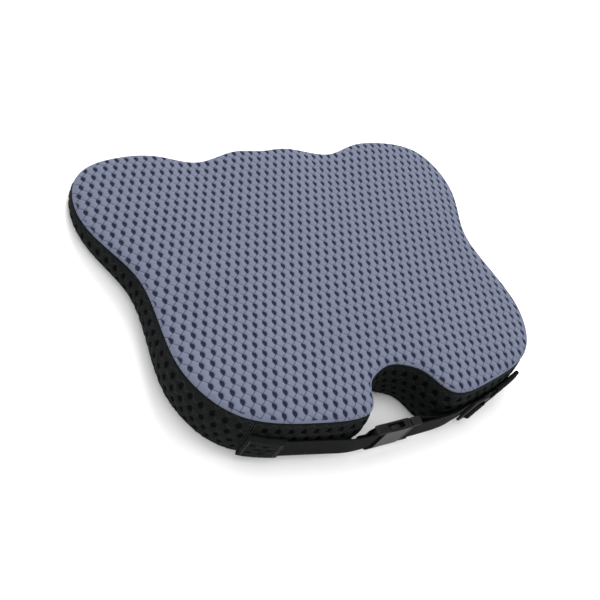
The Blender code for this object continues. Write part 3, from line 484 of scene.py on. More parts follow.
def times(tree, first, second):
    # the product of two numbers
    return sums(tree, "MULTIPLY", first, second)


def plus(tree, first, second):
    # the sum of two numbers
    return sums(tree, "ADD", first, second)


def less(tree, first, second):
    # the first number less the second
    return sums(tree, "SUBTRACT", first, second)


def rippled(tree, value):
    # the size of the sine of pi times a number: one hump for each whole step
    return sums(tree, "ABSOLUTE", sums(tree, "SINE", times(tree, value, math.pi)))


def mixed(tree, factor, first, second):
    # a straight blend of two colours
    made = addNode(tree, "ShaderNodeMix", {0: factor}, data_type="RGBA")
    feed(tree, made.inputs[6], first)
    feed(tree, made.inputs[7], second)
    return made.outputs[2]


def ramp(tree, value, low, high):
    # from nought to one between two values, with soft ends
    made = addNode(tree, "ShaderNodeMapRange", {"Value": value, "From Min": low, "From Max": high},
                   interpolation_type="SMOOTHSTEP")
    return made.outputs["Result"]


def group(name, inputs, outputs):
    # a shared node group: its inputs are numbers, but for "Vector", and its outputs are numbers
    tree = bpy.data.node_groups.new(name, "ShaderNodeTree")
    for label in inputs:
        kind = "NodeSocketVector" if label == "Vector" else "NodeSocketFloat"
        tree.interface.new_socket(label, in_out="INPUT", socket_type=kind)
    for label in outputs:
        tree.interface.new_socket(label, in_out="OUTPUT", socket_type="NodeSocketFloat")
    return tree, tree.nodes.new("NodeGroupInput").outputs, tree.nodes.new("NodeGroupOutput").inputs


def weaveGroup():
    # over-and-under threads: each is half a sine across, and the two ways take turns on a checkerboard; the
    # second output is high where the threads dip, for painted shade between them
    tree, given, out = group("threadWeave", ("Across", "Along", "Thread"), ("Height", "GapShade"))
    u = sums(tree, "DIVIDE", given["Across"], given["Thread"])
    v = sums(tree, "DIVIDE", given["Along"], given["Thread"])
    bumpU, bumpV = rippled(tree, u), rippled(tree, v)
    turn = sums(tree, "PINGPONG", plus(tree, sums(tree, "FLOOR", u), sums(tree, "FLOOR", v)), 1.0)
    height = plus(tree, times(tree, bumpU, turn), times(tree, bumpV, less(tree, 1.0, turn)))
    # painted shade between the threads: high where either thread dips
    gap = less(tree, 1.0, sums(tree, "POWER", times(tree, bumpU, bumpV), 0.35))
    feed(tree, out["Height"], height)
    feed(tree, out["GapShade"], gap)
    return tree


def patchGroup():
    # soft patches of colour change and fine fibres: two noises of different size
    tree, given, out = group("clothPatches", ("Vector", "Large", "Small"), ("Patch", "Fibre"))
    for label, size, detail in (("Patch", "Large", 3.0), ("Fibre", "Small", 2.0)):
        noise = addNode(tree, "ShaderNodeTexNoise",
                        {"Vector": given["Vector"], "Scale": given[size], "Detail": detail})
        feed(tree, out[label], noise.outputs[0])
    return tree


def knitGroup():
    # spacer mesh: folding the plane leaves one valley between the tips of two holes, and the knit line is
    # where a point is near it; the loops are the product of slanted and level waves
    inputs = ("U", "V", "Half", "Row", "Tip", "RiseShare", "HalfShare", "Loop")
    tree, given, out = group("honeycombKnit", inputs, ("Line", "Loops"))
    folded = times(tree, sums(tree, "PINGPONG", given["U"], given["Half"]), given["RiseShare"])
    other = less(tree, sums(tree, "PINGPONG", given["V"], given["Row"]), given["Tip"])
    other = times(tree, other, given["HalfShare"])
    fromLine = sums(tree, "ABSOLUTE", less(tree, folded, other))
    feed(tree, out["Line"], less(tree, 1.0, ramp(tree, fromLine, 0.00010, 0.00055)))
    flat = addNode(tree, "ShaderNodeCombineXYZ", {0: given["U"], 1: given["V"]}).outputs[0]
    slanted = addNode(tree, "ShaderNodeTexWave",
                      {"Vector": flat, "Scale": given["Loop"], "Distortion": 1.2, "Detail": 1.0,
                       "Detail Scale": 2.0}, bands_direction="DIAGONAL")
    level = addNode(tree, "ShaderNodeTexWave", {"Vector": flat, "Scale": given["Loop"], "Distortion": 0.6},
                    bands_direction="Y")
    feed(tree, out["Loops"], times(tree, slanted.outputs[1], level.outputs[1]))
    return tree


def wearGroup():
    # rubbed where the shape is sharp and a patch is bright; worn where a stretched noise is high
    tree, given, out = group("rubbedEdges", ("Vector", "Sharpness", "Patch"), ("Worn", "Rubbed"))
    scuffs = addNode(tree, "ShaderNodeTexNoise", {"Vector": given["Vector"], "Scale": 380.0, "Detail": 4.0,
                                                  "Distortion": 1.5})
    feed(tree, out["Worn"], ramp(tree, scuffs.outputs[0], 0.60, 0.74))
    feed(tree, out["Rubbed"], times(tree, ramp(tree, given["Sharpness"], 0.52, 0.62), given["Patch"]))
    return tree


weave, patches, knit, wear = weaveGroup(), patchGroup(), knitGroup(), wearGroup()
plainInputs = {"specular": "Specular IOR Level", "metallic": "Metallic", "sheen": "Sheen Weight",
               "sheenRough": "Sheen Roughness", "sheenTint": "Sheen Tint"}


def useGroup(tree, shape, values):
    # a shared group's outputs, with its inputs fed
    return addNode(tree, "ShaderNodeGroup", values, node_tree=shape).outputs


def attribute(tree, name):
    # the number painted on the mesh
    return addNode(tree, "ShaderNodeAttribute", attribute_name=name).outputs["Fac"]


def objectPlace(tree):
    # the place on the piece, in metres
    return addNode(tree, "ShaderNodeTexCoord").outputs["Object"]


def clothPlace(tree, place, painted):
    # two lengths on the cloth: the painted ones if there are any, or else X and Y
    if painted:
        return [attribute(tree, name) for name in painted]
    return addNode(tree, "ShaderNodeSeparateXYZ", {0: place}).outputs[:2]


def dressed(tree, shader, look, colour, rough, height, depth):
    # feeds the shader a colour, a roughness and a bump of a depth, and sets the look's plain values
    bump = addNode(tree, "ShaderNodeBump", {"Height": height, "Strength": look["bump"], "Distance": depth})
    feed(tree, shader.inputs["Base Color"], colour)
    feed(tree, shader.inputs["Roughness"], rough)
    feed(tree, shader.inputs["Normal"], bump.outputs[0])
    for key, label in plainInputs.items():
        if key in look:
            shader.inputs[label].default_value = look[key]


def meshCloth(name, look):
    # spacer mesh: a light knit, dark along its lines, with its loops as bump; its holes take the inner
    # layer's darker colour and painted shade, darker with depth
    material, tree, shader = newMaterial(name)
    place = objectPlace(tree)
    u, v = clothPlace(tree, place, look["painted"])
    soft = useGroup(tree, patches, {"Vector": place, "Large": 16.0, "Small": 1500.0})
    hole = look["holes"]
    half, tip = hole["pitch"] / 2, hole["fork"] * hole["along"] / 2
    rise = hole["row"] - 2 * tip
    length = math.hypot(half, rise)
    lines = useGroup(tree, knit, {"U": u, "V": v, "Half": half, "Row": hole["row"], "Tip": tip,
                                  "RiseShare": rise / length, "HalfShare": half / length,
                                  "Loop": 0.314 / look["loop"]})
    line, loops = lines["Line"], lines["Loops"]
    pit = ramp(tree, attribute(tree, "pit"), look["pitFrom"], look["pitTo"])
    colour = mixed(tree, soft["Patch"], look["light"], look["other"])
    colour = mixed(tree, times(tree, loops, look["knitShade"]), colour, look["thread"])
    colour = mixed(tree, times(tree, line, look["lineShade"]), colour, look["line"])
    # the holes: partly the darker inner layer seen through them, partly painted shade, darker with depth
    colour = mixed(tree, pit, colour, look["hole"])
    height = plus(tree, times(tree, loops, 0.6), times(tree, soft["Fibre"], 0.5))
    height = less(tree, height, times(tree, line, 0.7))
    rough = plus(tree, times(tree, soft["Fibre"], 0.2), look["rough"])
    dressed(tree, shader, look, colour, rough, height, 0.0004)
    return material


def wovenCloth(name, look):
    # woven threads along and across, with a little fluff, painted shade where the threads dip, and smooth
    # dots where the look has them
    material, tree, shader = newMaterial(name)
    place = objectPlace(tree)
    u, v = clothPlace(tree, place, look["painted"])
    threads = useGroup(tree, weave, {"Across": u, "Along": v, "Thread": look["threadWidth"]})
    soft = useGroup(tree, patches, {"Vector": place, "Large": 30.0, "Small": 2200.0})
    colour = mixed(tree, soft["Patch"], look["light"], look["other"])
    # painted shade: darker where the threads dip between each other
    colour = mixed(tree, times(tree, threads["GapShade"], 0.8), colour, look["gap"])
    height = plus(tree, threads["Height"], times(tree, soft["Fibre"], 0.4))
    rough = plus(tree, times(tree, soft["Fibre"], 0.25), look["rough"])
    if "dot" in look:
        dot = ramp(tree, attribute(tree, "pit"), 0.2, 0.6)
        colour = mixed(tree, dot, colour, look["dot"])
        height = times(tree, height, less(tree, 1.0, dot))
        rough = less(tree, rough, times(tree, dot, 0.35))
    dressed(tree, shader, look, colour, rough, height, 0.0003)
    return material


def mouldedPlastic(name, look):
    # a faint orange-peel bump, fine scuffs that roughen it, and lighter rubbed edges
    material, tree, shader = newMaterial(name)
    place = objectPlace(tree)
    soft = useGroup(tree, patches, {"Vector": place, "Large": 90.0, "Small": 1400.0})
    edge = addNode(tree, "ShaderNodeNewGeometry").outputs["Pointiness"]
    use = useGroup(tree, wear, {"Vector": place, "Sharpness": edge, "Patch": soft["Patch"]})
    colour = mixed(tree, soft["Patch"], look["light"], look["other"])
    colour = mixed(tree, times(tree, use["Rubbed"], 0.6), colour, look["rubbed"])
    rough = plus(tree, times(tree, use["Worn"], 0.22), look["rough"])
    height = plus(tree, soft["Fibre"], times(tree, use["Worn"], -0.4))
    dressed(tree, shader, look, colour, rough, height, 0.00015)
    return material


def rgb(r, g, b):
    # an opaque colour
    return (r, g, b, 1.0)


# the hole colours are partly each mesh's darker inner layer and partly painted shade; the black mesh's
# near-black holes are mostly painted shade
blueMeshCloth = meshCloth("blueSpacerMesh", {
    "painted": (), "holes": topHole, "loop": 0.0007, "light": rgb(0.128, 0.143, 0.202),
    "other": rgb(0.105, 0.118, 0.170), "thread": rgb(0.180, 0.198, 0.268),
    "hole": rgb(0.010, 0.013, 0.032), "line": rgb(0.018, 0.021, 0.044), "knitShade": 0.45,
    "lineShade": 0.80, "pitFrom": 0.12, "pitTo": 0.80, "bump": 0.5, "rough": 0.75, "sheen": 0.08,
    "sheenRough": 0.45, "sheenTint": rgb(0.7, 0.75, 0.95), "specular": 0.2})
blackMeshCloth = meshCloth("blackSpacerMesh", {
    "painted": ("clothU", "clothV"), "holes": bandHole, "loop": 0.0008,
    "light": rgb(0.0062, 0.0072, 0.0074), "other": rgb(0.0045, 0.0052, 0.0056),
    "thread": rgb(0.013, 0.0155, 0.0155), "hole": rgb(0.0006, 0.0006, 0.0008),
    "line": rgb(0.028, 0.034, 0.033), "knitShade": 0.6, "lineShade": 0.6, "pitFrom": 0.10,
    "pitTo": 0.70, "bump": 0.6, "rough": 0.75, "sheen": 0.0, "sheenRough": 0.45,
    "sheenTint": rgb(0.6, 0.75, 0.75), "specular": 0.08})
# each woven look's gap colour is painted shade between its threads
gripCloth = wovenCloth("gripBaseCloth", {
    "painted": (), "threadWidth": 0.0009, "light": rgb(0.016, 0.016, 0.018),
    "other": rgb(0.011, 0.011, 0.012), "gap": rgb(0.003, 0.003, 0.003), "dot": rgb(0.030, 0.030, 0.033),
    "bump": 0.7, "rough": 0.68, "sheen": 0.0, "specular": 0.14})
webCloth = wovenCloth("strapWebbing", {
    "painted": ("across", "along"), "threadWidth": 0.0011, "light": rgb(0.0058, 0.0058, 0.0064),
    "other": rgb(0.0036, 0.0036, 0.0040), "gap": rgb(0.003, 0.003, 0.003), "bump": 0.8, "rough": 0.60,
    "sheen": 0.0, "specular": 0.05})
tapeCloth = wovenCloth("zipTapeCloth", {
    "painted": ("across", "along"), "threadWidth": 0.0005, "light": rgb(0.016, 0.016, 0.017),
    "other": rgb(0.011, 0.011, 0.012), "gap": rgb(0.003, 0.003, 0.003), "bump": 0.7, "rough": 0.7,
    "sheen": 0.0, "specular": 0.14})
lightThread = wovenCloth("tabThread", {
    "painted": (), "threadWidth": 0.0003, "light": rgb(0.085, 0.088, 0.095),
    "other": rgb(0.060, 0.062, 0.070), "gap": rgb(0.02, 0.02, 0.02), "bump": 0.5, "rough": 0.55,
    "sheen": 0.10, "specular": 0.4})
darkThread = wovenCloth("darkThread", {
    "painted": (), "threadWidth": 0.0003, "light": rgb(0.030, 0.032, 0.038),
    "other": rgb(0.018, 0.020, 0.026), "gap": rgb(0.004, 0.004, 0.006), "bump": 0.5, "rough": 0.6,
    "sheen": 0.10, "specular": 0.35})
blackPlastic = mouldedPlastic("mouldedNylon", {
    "light": rgb(0.006, 0.006, 0.0066), "other": rgb(0.009, 0.009, 0.0096),
    "rubbed": rgb(0.06, 0.06, 0.065), "rough": 0.34, "bump": 0.25, "metallic": 0.0, "specular": 0.06})
coilNylon = mouldedPlastic("coilNylon", {
    "light": rgb(0.020, 0.020, 0.022), "other": rgb(0.014, 0.014, 0.015),
    "rubbed": rgb(0.05, 0.05, 0.05), "rough": 0.35, "bump": 0.2, "metallic": 0.0, "specular": 0.35})
zipMetal = mouldedPlastic("paintedZinc", {
    "light": rgb(0.10, 0.10, 0.105), "other": rgb(0.07, 0.07, 0.075), "rubbed": rgb(0.55, 0.52, 0.46),
    "rough": 0.30, "bump": 0.3, "metallic": 1.0, "specular": 0.5})


def foamMaterial():
    # open-cell foam: small cells dimple a pale surface that yellows in patches, and painted shade darkens
    # each dimple
    material, tree, shader = newMaterial("openCellFoam")
    place = objectPlace(tree)
    cell = addNode(tree, "ShaderNodeTexVoronoi", {"Vector": place, "Scale": 700.0}).outputs["Distance"]
    soft = useGroup(tree, patches, {"Vector": place, "Large": 12.0, "Small": 500.0})
    colour = mixed(tree, soft["Patch"], rgb(0.78, 0.75, 0.62), rgb(0.70, 0.64, 0.44))
    # painted shade: darker towards each cell's centre, where the dimple is deepest
    colour = mixed(tree, ramp(tree, cell, 0.2, 0.0), colour, rgb(0.42, 0.38, 0.26))
    dressed(tree, shader, {"bump": 0.8}, colour, 0.95, cell, 0.0006)
    return material


foamLook = foamMaterial()
print("materials made")


def cellPuff(points, hole):
    # the knit is puffed between the valleys that fork from each hole's tips to the next holes. Folding
    # the plane back on itself leaves one valley, a straight line, to measure from
    half, row = hole["pitch"] / 2, hole["row"]
    u = half - np.abs(points[:, 0] % hole["pitch"] - half)
    v = row - np.abs(points[:, 1] % (2 * row) - row)
    tip = hole["fork"] * hole["along"] / 2
    rise = row - 2 * tip
    gap = np.abs(u * rise - (v - tip) * half) / math.hypot(half, rise)
    return hole["puff"] * (1.0 - np.exp(-(gap / hole["valley"]) ** 2))


def topPanel():
    # the punched top: puffed over the pad inside the rim, and turned over at the rim by a few rings
    c, hole = cushion, topHole
    at = evenStations(741)[:-1]
    rim = ring(at, -hole["rimInset"])
    seamLine = ring(np.linspace(0, spans, 2401)[:-1])
    centres = staggered(rim.min(axis=0), rim.max(axis=0), hole["pitch"], hole["row"])
    centres = nearOrInside(centres, rim, hole["along"] / 2)

    def onOuter(points, rise):
        inward = distanceInside(points, seamLine)
        inward[:len(rim)] = hole["rimInset"]
        return np.column_stack([points, padHeight(points, inward) + rise])

    def onInner(points):
        inward = distanceInside(points, seamLine)
        flat = points * 1.0
        flat[:len(rim)] = ring(at, -hole["innerInset"])
        inward[:len(rim)] = hole["innerInset"]
        return np.column_stack([flat, padHeight(flat, inward) - c["topThick"]])

    y = ring(at)[:, 1]
    start = padHeight(rim, np.full(len(rim), hole["rimInset"])) - rimHeight(y)
    rings = [np.column_stack([ring(at, offset), rimHeight(y) + drop])
             for offset, drop in ((hole["foldOffset"], start - hole["foldDrop"]),) + hole["turnOver"]]
    piece, _ = punchedShell("topPanel", rim, centres, hole, onOuter, onInner, rings, hole["grid"],
                            lambda p: cellPuff(p, hole))
    print("top panel:", len(centres), "holes,", len(piece.data.polygons), "faces")
    finished(outwards(piece), blueMeshCloth, replaced=["top_panel"])


def sideBand(name, node, first, last):
    # one piece of the side wall: cut flat as arc length by height, then stood up on the outline
    c = cushion
    if last < first:
        last += spans
    low, high = np.interp([first % spans, last % spans], fineAt, fineLength)
    total = fineLength[-1]
    run = (high - low) % total
    step = bandHole["edgeStep"]
    along = np.linspace(0.0, run, int(run / step))

    def stationAt(u):
        return np.interp((low + u) % total, fineLength, fineAt)

    def tallAt(u):
        return wallHeight(ring(stationAt(u))[:, 1])

    tall = tallAt(along)
    ends = []
    for k, direction in ((-1, 1), (0, -1)):
        steps = np.arange(1, int(tall[k] / step)) / int(tall[k] / step)
        ends.append(columns(along[k], steps[::direction] * tall[k]))
    border = np.vstack([columns(along, 0.0), ends[0],
                        np.column_stack([along, tall])[::-1], ends[1]])
    centres = staggered((0.0, -0.08), (run, 0.0), bandHole["pitch"], bandHole["row"])
    centres[:, 1] += tallAt(np.clip(centres[:, 0], 0.0, run)) - bandHole["firstRow"]
    roof = tallAt(np.clip(centres[:, 0], 0.0, run))
    centres = centres[centres[:, 1] < roof - bandHole["plainStrip"]]
    centres = nearOrInside(centres, border, bandHole["across"] / 2)

    def cutPlace(points):
        # where a point lies on the cloth, whose rows of holes run along the top edge
        return np.column_stack([points[:, 0], points[:, 1] - tallAt(points[:, 0]) + bandHole["firstRow"]])

    def stood(points, offset):
        at = stationAt(points[:, 0])
        level = np.clip(points[:, 1] / tallAt(points[:, 0]), 0.0, 1.0)
        return np.column_stack([ring(at, swell(level, tallAt(points[:, 0])) + offset), points[:, 1]])

    rings = [stood(border, offset) for offset in bandHole["turnedEdges"]]
    shell, every = punchedShell(name, border, centres, bandHole, stood, lambda p: stood(p, -c["bandThick"]),
                                rings, bandHole["grid"], lambda p: cellPuff(cutPlace(p), bandHole))
    # from here the length never starts again: past the front centre, the painted lines keep its height
    total = math.inf
    cloth = cutPlace(np.vstack([every] + [border] * 3))
    for column, label in enumerate(("clothU", "clothV")):
        paintFirst(shell, label, cloth[:, column])
    print(name + ":", len(centres), "holes,", len(shell.data.polygons), "faces")
    finished(outwards(shell), blackMeshCloth, replaced=[node])


leftSeam, rightSeam = outlineAtX(cushion["seamX"]), outlineAtX(-cushion["seamX"])
nearSeam = ring([leftSeam - 0.01, leftSeam + 0.01])
seamSlack = cushion["sewnGap"] / 2 / np.linalg.norm(np.diff(nearSeam, axis=0)) * 0.02


rolls = {"topDrop": 0.00315, "topOffset": -0.0009, "topRadius": 0.0007,
         "baseOffset": -0.00315, "baseRadius": 0.0006}


def seamRoll(name, at, height, offset, radius):
    # the turned edge of the cover in the groove of a seam: a round roll along the outline
    y = ring(at)[:, 1]
    path = np.column_stack([ring(at, offset), height(y)])
    roll = swept(name, path, circle(6, radius), closed=True, uv=False)
    finished(outwards(roll), darkThread)


topPanel()
sideBand("sideBandFront", "side_band_front", rightSeam + seamSlack, leftSeam - seamSlack)
sideBand("sideBandRear", "side_band_rear", leftSeam + seamSlack, rightSeam - seamSlack)
rimAt = evenStations(481)[:-1]
seamRoll("topSeamRoll", rimAt, lambda y: rimHeight(y) - rolls["topDrop"],
         rolls["topOffset"], rolls["topRadius"])
print("cover made")


foamSkin = {"weld": 0.00002, "voxel": 0.004, "relax": 0.5, "relaxTurns": 4}


def foamCore():
    # the moulded foam wedge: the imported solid, welded, re-skinned in small even faces and relaxed
    source = nodes["foam_core"]
    core = placed("foamCore", source.data.copy())
    weld = core.modifiers.new("weld", "WELD")
    weld.merge_threshold = foamSkin["weld"]
    skin = core.modifiers.new("skin", "REMESH")
    skin.mode = "VOXEL"
    skin.voxel_size = foamSkin["voxel"]
    relax = core.modifiers.new("relax", "SMOOTH")
    relax.factor = foamSkin["relax"]
    relax.iterations = foamSkin["relaxTurns"]
    graph = bpy.context.evaluated_depsgraph_get()
    mesh = bpy.data.meshes.new_from_object(core.evaluated_get(graph))
    core.modifiers.clear()
    core.data = mesh
    mesh.shade_smooth()
    finished(outwards(core), foamLook, replaced=["foam_core"])


foamCore()


baseDot = {
    "across": 0.0032, "along": 0.0032, "pitch": 0.0090, "row": 0.0078, "margin": 0.0042, "sides": 8,
    "shares": (0.0, 0.60, 1.0), "depths": (-0.0005, -0.00042, 0.0), "grid": 0.0060, "raised": 0.0005,
    "pinch": 0.0, "middleZ": 0.0012,
}


def basePanel(name, node, side):
    # half of the underside: non-slip cloth with round raised dots in staggered rows
    c = cushion
    points = ring(evenStations(601)[:-1], -c["bandThick"] - c["sewnGap"])
    edge = c["zipY"] + side * (c["zipTrough"] + c["sewnGap"])
    inside = side * (points[:, 1] - edge) > 0.0
    first = np.flatnonzero(inside & ~np.roll(inside, 1))[0]
    points, inside = np.roll(points, -first, axis=0), np.roll(inside, -first)
    kept = points[inside]
    before, after = points[-1], points[int(inside.sum())]

    def crossing(a, b):
        return a + (b - a) * (edge - a[1]) / (b[1] - a[1])

    enter, leave = crossing(before, kept[0]), crossing(kept[-1], after)
    share = np.linspace(0.0, 1.0, 150)[:, None]
    border = np.vstack([kept, leave + (enter - leave) * share])
    centres = staggered(border.min(axis=0), border.max(axis=0), baseDot["pitch"], baseDot["row"])
    centres = centres[insidePolygon(centres, border)]
    centres = centres[distanceInside(centres, border) > baseDot["margin"]]

    def level(flat, height):
        return columns(flat[:, 0], flat[:, 1], height)

    panel, _ = punchedShell(
        name, border, centres, baseDot, lambda p, rise: level(p, baseDot["raised"] - rise),
        lambda p: level(p, c["baseThick"]), [level(border, baseDot["middleZ"])], baseDot["grid"],
        lambda p: np.zeros(len(p)))
    print(name + ":", len(centres), "dots,", len(panel.data.polygons), "faces")
    finished(outwards(panel), gripCloth, replaced=[node])


basePanel("basePanelFront", "bottom_panel_front", -1.0)
basePanel("basePanelRear", "bottom_panel_rear", 1.0)
seamRoll("baseSeamRoll", rimAt, lambda y: np.full(len(y), baseDot["middleZ"]),
         rolls["baseOffset"], rolls["baseRadius"])


zipper = {
    "halfGap": 0.0026, "tapeThick": 0.0008, "tapeZ": 0.0040, "coilGap": 0.0001, "drop": 0.0010,
    "rise": 0.0002, "liningZ": 0.0059, "liningThick": 0.0003, "liningGap": 0.0002, "endClear": 0.0320,
    "turn": 0.0014, "wire": 0.00030, "turnPoints": 12,
}


def sideReach(y):
    # half the base panel's width at a distance y
    flat = ring(evenStations(1201)[:-1], -cushion["bandThick"] - cushion["sewnGap"])
    right = flat[(flat[:, 0] > 0.05) & (flat[:, 1] < cushion["rearReach"] - 0.06)]
    order = np.argsort(right[:, 1])
    return float(np.interp(y, right[order, 1], right[order, 0]))


def ovalSection(halfWide, halfThick, power=6.0, count=28):
    # a rounded bar: the superellipse whose corners tighten with its power
    angle = np.arange(count) * 2 * math.pi / count
    cos, sin = np.cos(angle), np.sin(angle)
    return np.stack([np.sign(cos) * np.abs(cos) ** (2 / power) * halfWide,
                     np.sign(sin) * np.abs(sin) ** (2 / power) * halfThick], axis=1)


def zipTape(name, node, side):
    # woven tape along the zip: a flat bar with rounded edges
    z, c = zipper, cushion
    reach = min(sideReach(c["zipY"] + way * c["zipTrough"]) for way in (-1, 1)) - c["sewnGap"]
    inner, outer = c["zipY"] + side * z["halfGap"], c["zipY"] + side * (c["zipTrough"] - c["sewnGap"])
    path = columns(np.linspace(-reach, reach, 160), (inner + outer) / 2, z["tapeZ"] + z["tapeThick"] / 2)
    section = ovalSection(abs(outer - inner) / 2, z["tapeThick"] / 2, 9.0, 40)
    tape = swept(name, path, section, wide=0)
    finished(outwards(tape), tapeCloth, replaced=[node])


def zipCoil(name, node, side):
    # a spiral of nylon wire: a circle flattened to the coil's width, carried along X
    z, c = zipper, cushion
    reach = sideReach(c["zipY"]) - z["endClear"]
    low, high = z["tapeZ"] - z["drop"], z["tapeZ"] + z["tapeThick"] + z["rise"]
    inner, outer = c["zipY"] + side * z["coilGap"], c["zipY"] + side * (z["halfGap"] - c["sewnGap"])
    wide, tall = abs(outer - inner) / 2 - z["wire"], (high - low) / 2 - z["wire"]
    turns = int(2 * (reach - z["turn"]) / z["turn"])
    angle = np.arange(turns * z["turnPoints"] + 1) * 2 * math.pi / z["turnPoints"]
    xs = -reach + z["wire"] + (angle / (2 * math.pi) + (0.5 if side > 0 else 0.0)) * z["turn"]
    radial = columns(0.0, np.cos(angle), np.sin(angle))
    path = radial * (0.0, wide, tall) + columns(xs, (inner + outer) / 2, (low + high) / 2)
    coil = swept(name, path, circle(5, z["wire"]), radial, uv=False)
    finished(outwards(coil), coilNylon, replaced=[node])


def zipLining():
    # the base cloth turned up beside the zip and over it: a wide U in section, and each line of it is as
    # long as the base is wide there
    c, z = cushion, zipper
    half, foot = c["zipTrough"], c["baseThick"]
    roof, thick = z["liningZ"], z["liningThick"]
    right = [(half - 0.0008, roof), (half - 0.0003, roof - thick), (half - 0.0002, (foot + roof) / 2),
             (half, foot)]
    outer = [(-a, b) for a, b in right[::-1]] + right
    inner = [(a * (half - 0.0006) / half, b - (thick if b >= roof - thick else 0.0)) for a, b in outer[::-1]]
    ys, zs = np.array(outer + inner).T
    reach = np.array([sideReach(c["zipY"] + y) for y in ys]) - z["liningGap"]
    share = np.linspace(-1.0, 1.0, 120)[:, None]
    points = np.stack(np.broadcast_arrays(share * reach, c["zipY"] + ys, zs), axis=2)
    lining = newPiece("zipLining", points.reshape(-1, 3), gridFaces(*points.shape[:2]), smooth=False)
    paintFirst(lining, "pit", [])
    finished(outwards(lining), gripCloth)


zipLining()
zipTape("zipTapeFront", "zip_tape_front", -1.0)
zipTape("zipTapeRear", "zip_tape_rear", 1.0)
zipCoil("zipCoilFront", "zip_coil_front", -1.0)
zipCoil("zipCoilRear", "zip_coil_rear", 1.0)
print("base and zip made")


strapSizes = {
    "width": 0.0300, "thick": 0.0014, "z": 0.0280, "tabReach": 0.0320, "tabOuterHalf": 0.0185,
    "tabInnerHalf": 0.0168, "tabWall": 0.0011, "pocket": 0.0180, "tabClear": 0.0008, "webClear": 0.0003,
    "standOff": 0.0060, "straightEnd": 0.0520, "mouthX": -0.0060, "socketLength": 0.0390,
    "plugBase": 0.0120, "barWidth": 0.0042, "turnRadius": 0.0029, "socketReturn": 0.0240,
    "plugReturn": 0.0600, "sag": 0.0045, "sagStart": 0.0100, "layerGap": 0.0006,
    "slackFrom": 0.0660, "slackTo": 0.0195, "pocketShare": 0.72, "barRun": 0.0150, "barNear": 0.0010,
    "barClear": 0.0060, "ribDepth": 0.00006, "ribs": 6.0,
}
glide = {"x": -0.0950, "thick": 0.0030, "clear": 0.0005, "loopRadius": 0.0040}
s = strapSizes
buckleY = cushion["rearReach"] + cushion["bulge"] + s["standOff"]
tabHalf = s["thick"] / 2 + s["webClear"] + s["tabWall"]
tabEndX = cushion["seamX"] - s["tabReach"]


def wallAt(x, clear):
    # the plan point that stands clear of the wall's fullest line, on the rear lobe at x
    at = np.array([outlineAtX(x)])
    return ring(at, swell(0.5, wallHeight(ring(at)[:, 1])) + clear)[0]


def smoothPath(points, count):
    # a Catmull-Rom curve through the points, cut into even lengths
    points = np.array(points)
    ends = np.vstack([2 * points[0] - points[1], points, 2 * points[-1] - points[-2]])
    t = np.linspace(0.0, 1.0, 24, endpoint=False)[:, None]
    fine = []
    for k in range(len(points) - 1):
        a, b, c, d = ends[k:k + 4]
        fine.append(0.5 * (2 * b + (c - a) * t + (2 * a - 5 * b + 4 * c - d) * t ** 2
                           + (3 * b - a - 3 * c + d) * t ** 3))
    fine = np.vstack(fine + [points[-1:]])
    length = lengthAlong(fine)
    even = np.linspace(0.0, length[-1], count)
    return np.column_stack([np.interp(even, length, fine[:, k]) for k in range(2)])


def strapGuide():
    # along the wall under the tab, then straight to the buckle's line
    clear = s["tabClear"] + tabHalf
    guide = [wallAt(x, clear) for x in np.linspace(cushion["seamX"], tabEndX, 5)]
    outer = buckleY + s["turnRadius"]
    end = np.array([s["straightEnd"], outer])
    return guide + [guide[-1] + (end - guide[-1]) * share for share in (0.08, 0.30, 0.60, 0.92)], outer


def foldedPath(side, barX, returnLength):
    # plan points of the webbing: out of the pocket, to the bar, half way round it, and back inside
    guide, outer = strapGuide()
    clear = s["tabClear"] + tabHalf
    inPocket = np.linspace(tabEndX + s["pocket"] * s["pocketShare"], tabEndX, 4)
    start = [wallAt(x, clear) for x in inPocket] + guide[5:]
    if side < 0:
        start = [p * np.array([-1.0, 1.0]) for p in start]
    straight = [np.array([barX + side * s[key], outer]) for key in ("barRun", "barNear")]
    run = smoothPath(start + straight, 110)
    angles = np.radians(np.linspace(90.0, 90.0 + side * 180.0, 24))
    turn = np.stack([np.cos(angles), np.sin(angles)], axis=1)
    around = np.array([barX, buckleY]) + s["turnRadius"] * turn
    inner = buckleY - s["turnRadius"]
    settle = outer - s["thick"] - 2 * s["layerGap"]
    back = [np.array([barX + side * s[key], inner]) for key in ("barNear", "barWidth")]
    clearOfBar = s["barWidth"] + s["barClear"]
    for share in (0.0, 0.33, 0.66, 1.0):
        x = barX + side * (clearOfBar + (returnLength - clearOfBar) * share)
        mainY = float(np.interp(side * x, side * run[::-1, 0], run[::-1, 1]))
        blend = min(1.0, 0.3 + share * 2.0)
        y = (1 - blend) * inner + blend * (mainY - s["thick"] - s["layerGap"])
        back.append(np.array([x, min(y, settle)]))
    return np.vstack([run, around, smoothPath(back, 50)]), len(run) + len(around)


def webSection():
    # webbing: a flat bar with full round edges, its faces ribbed by shallow waves across the width
    half, thick = s["width"] / 2, s["thick"] / 2
    up = np.linspace(-half + thick, half - thick, 25)
    rib = thick - s["ribDepth"] * (1.0 + np.cos(up / half * math.pi * s["ribs"]))
    bend = np.radians(np.linspace(20, 160, 6))
    top = np.stack([thick * np.cos(bend), half - thick + thick * np.sin(bend)], axis=1)
    front = np.stack([rib, up], axis=1)
    return np.vstack([front, top, -front, -top])


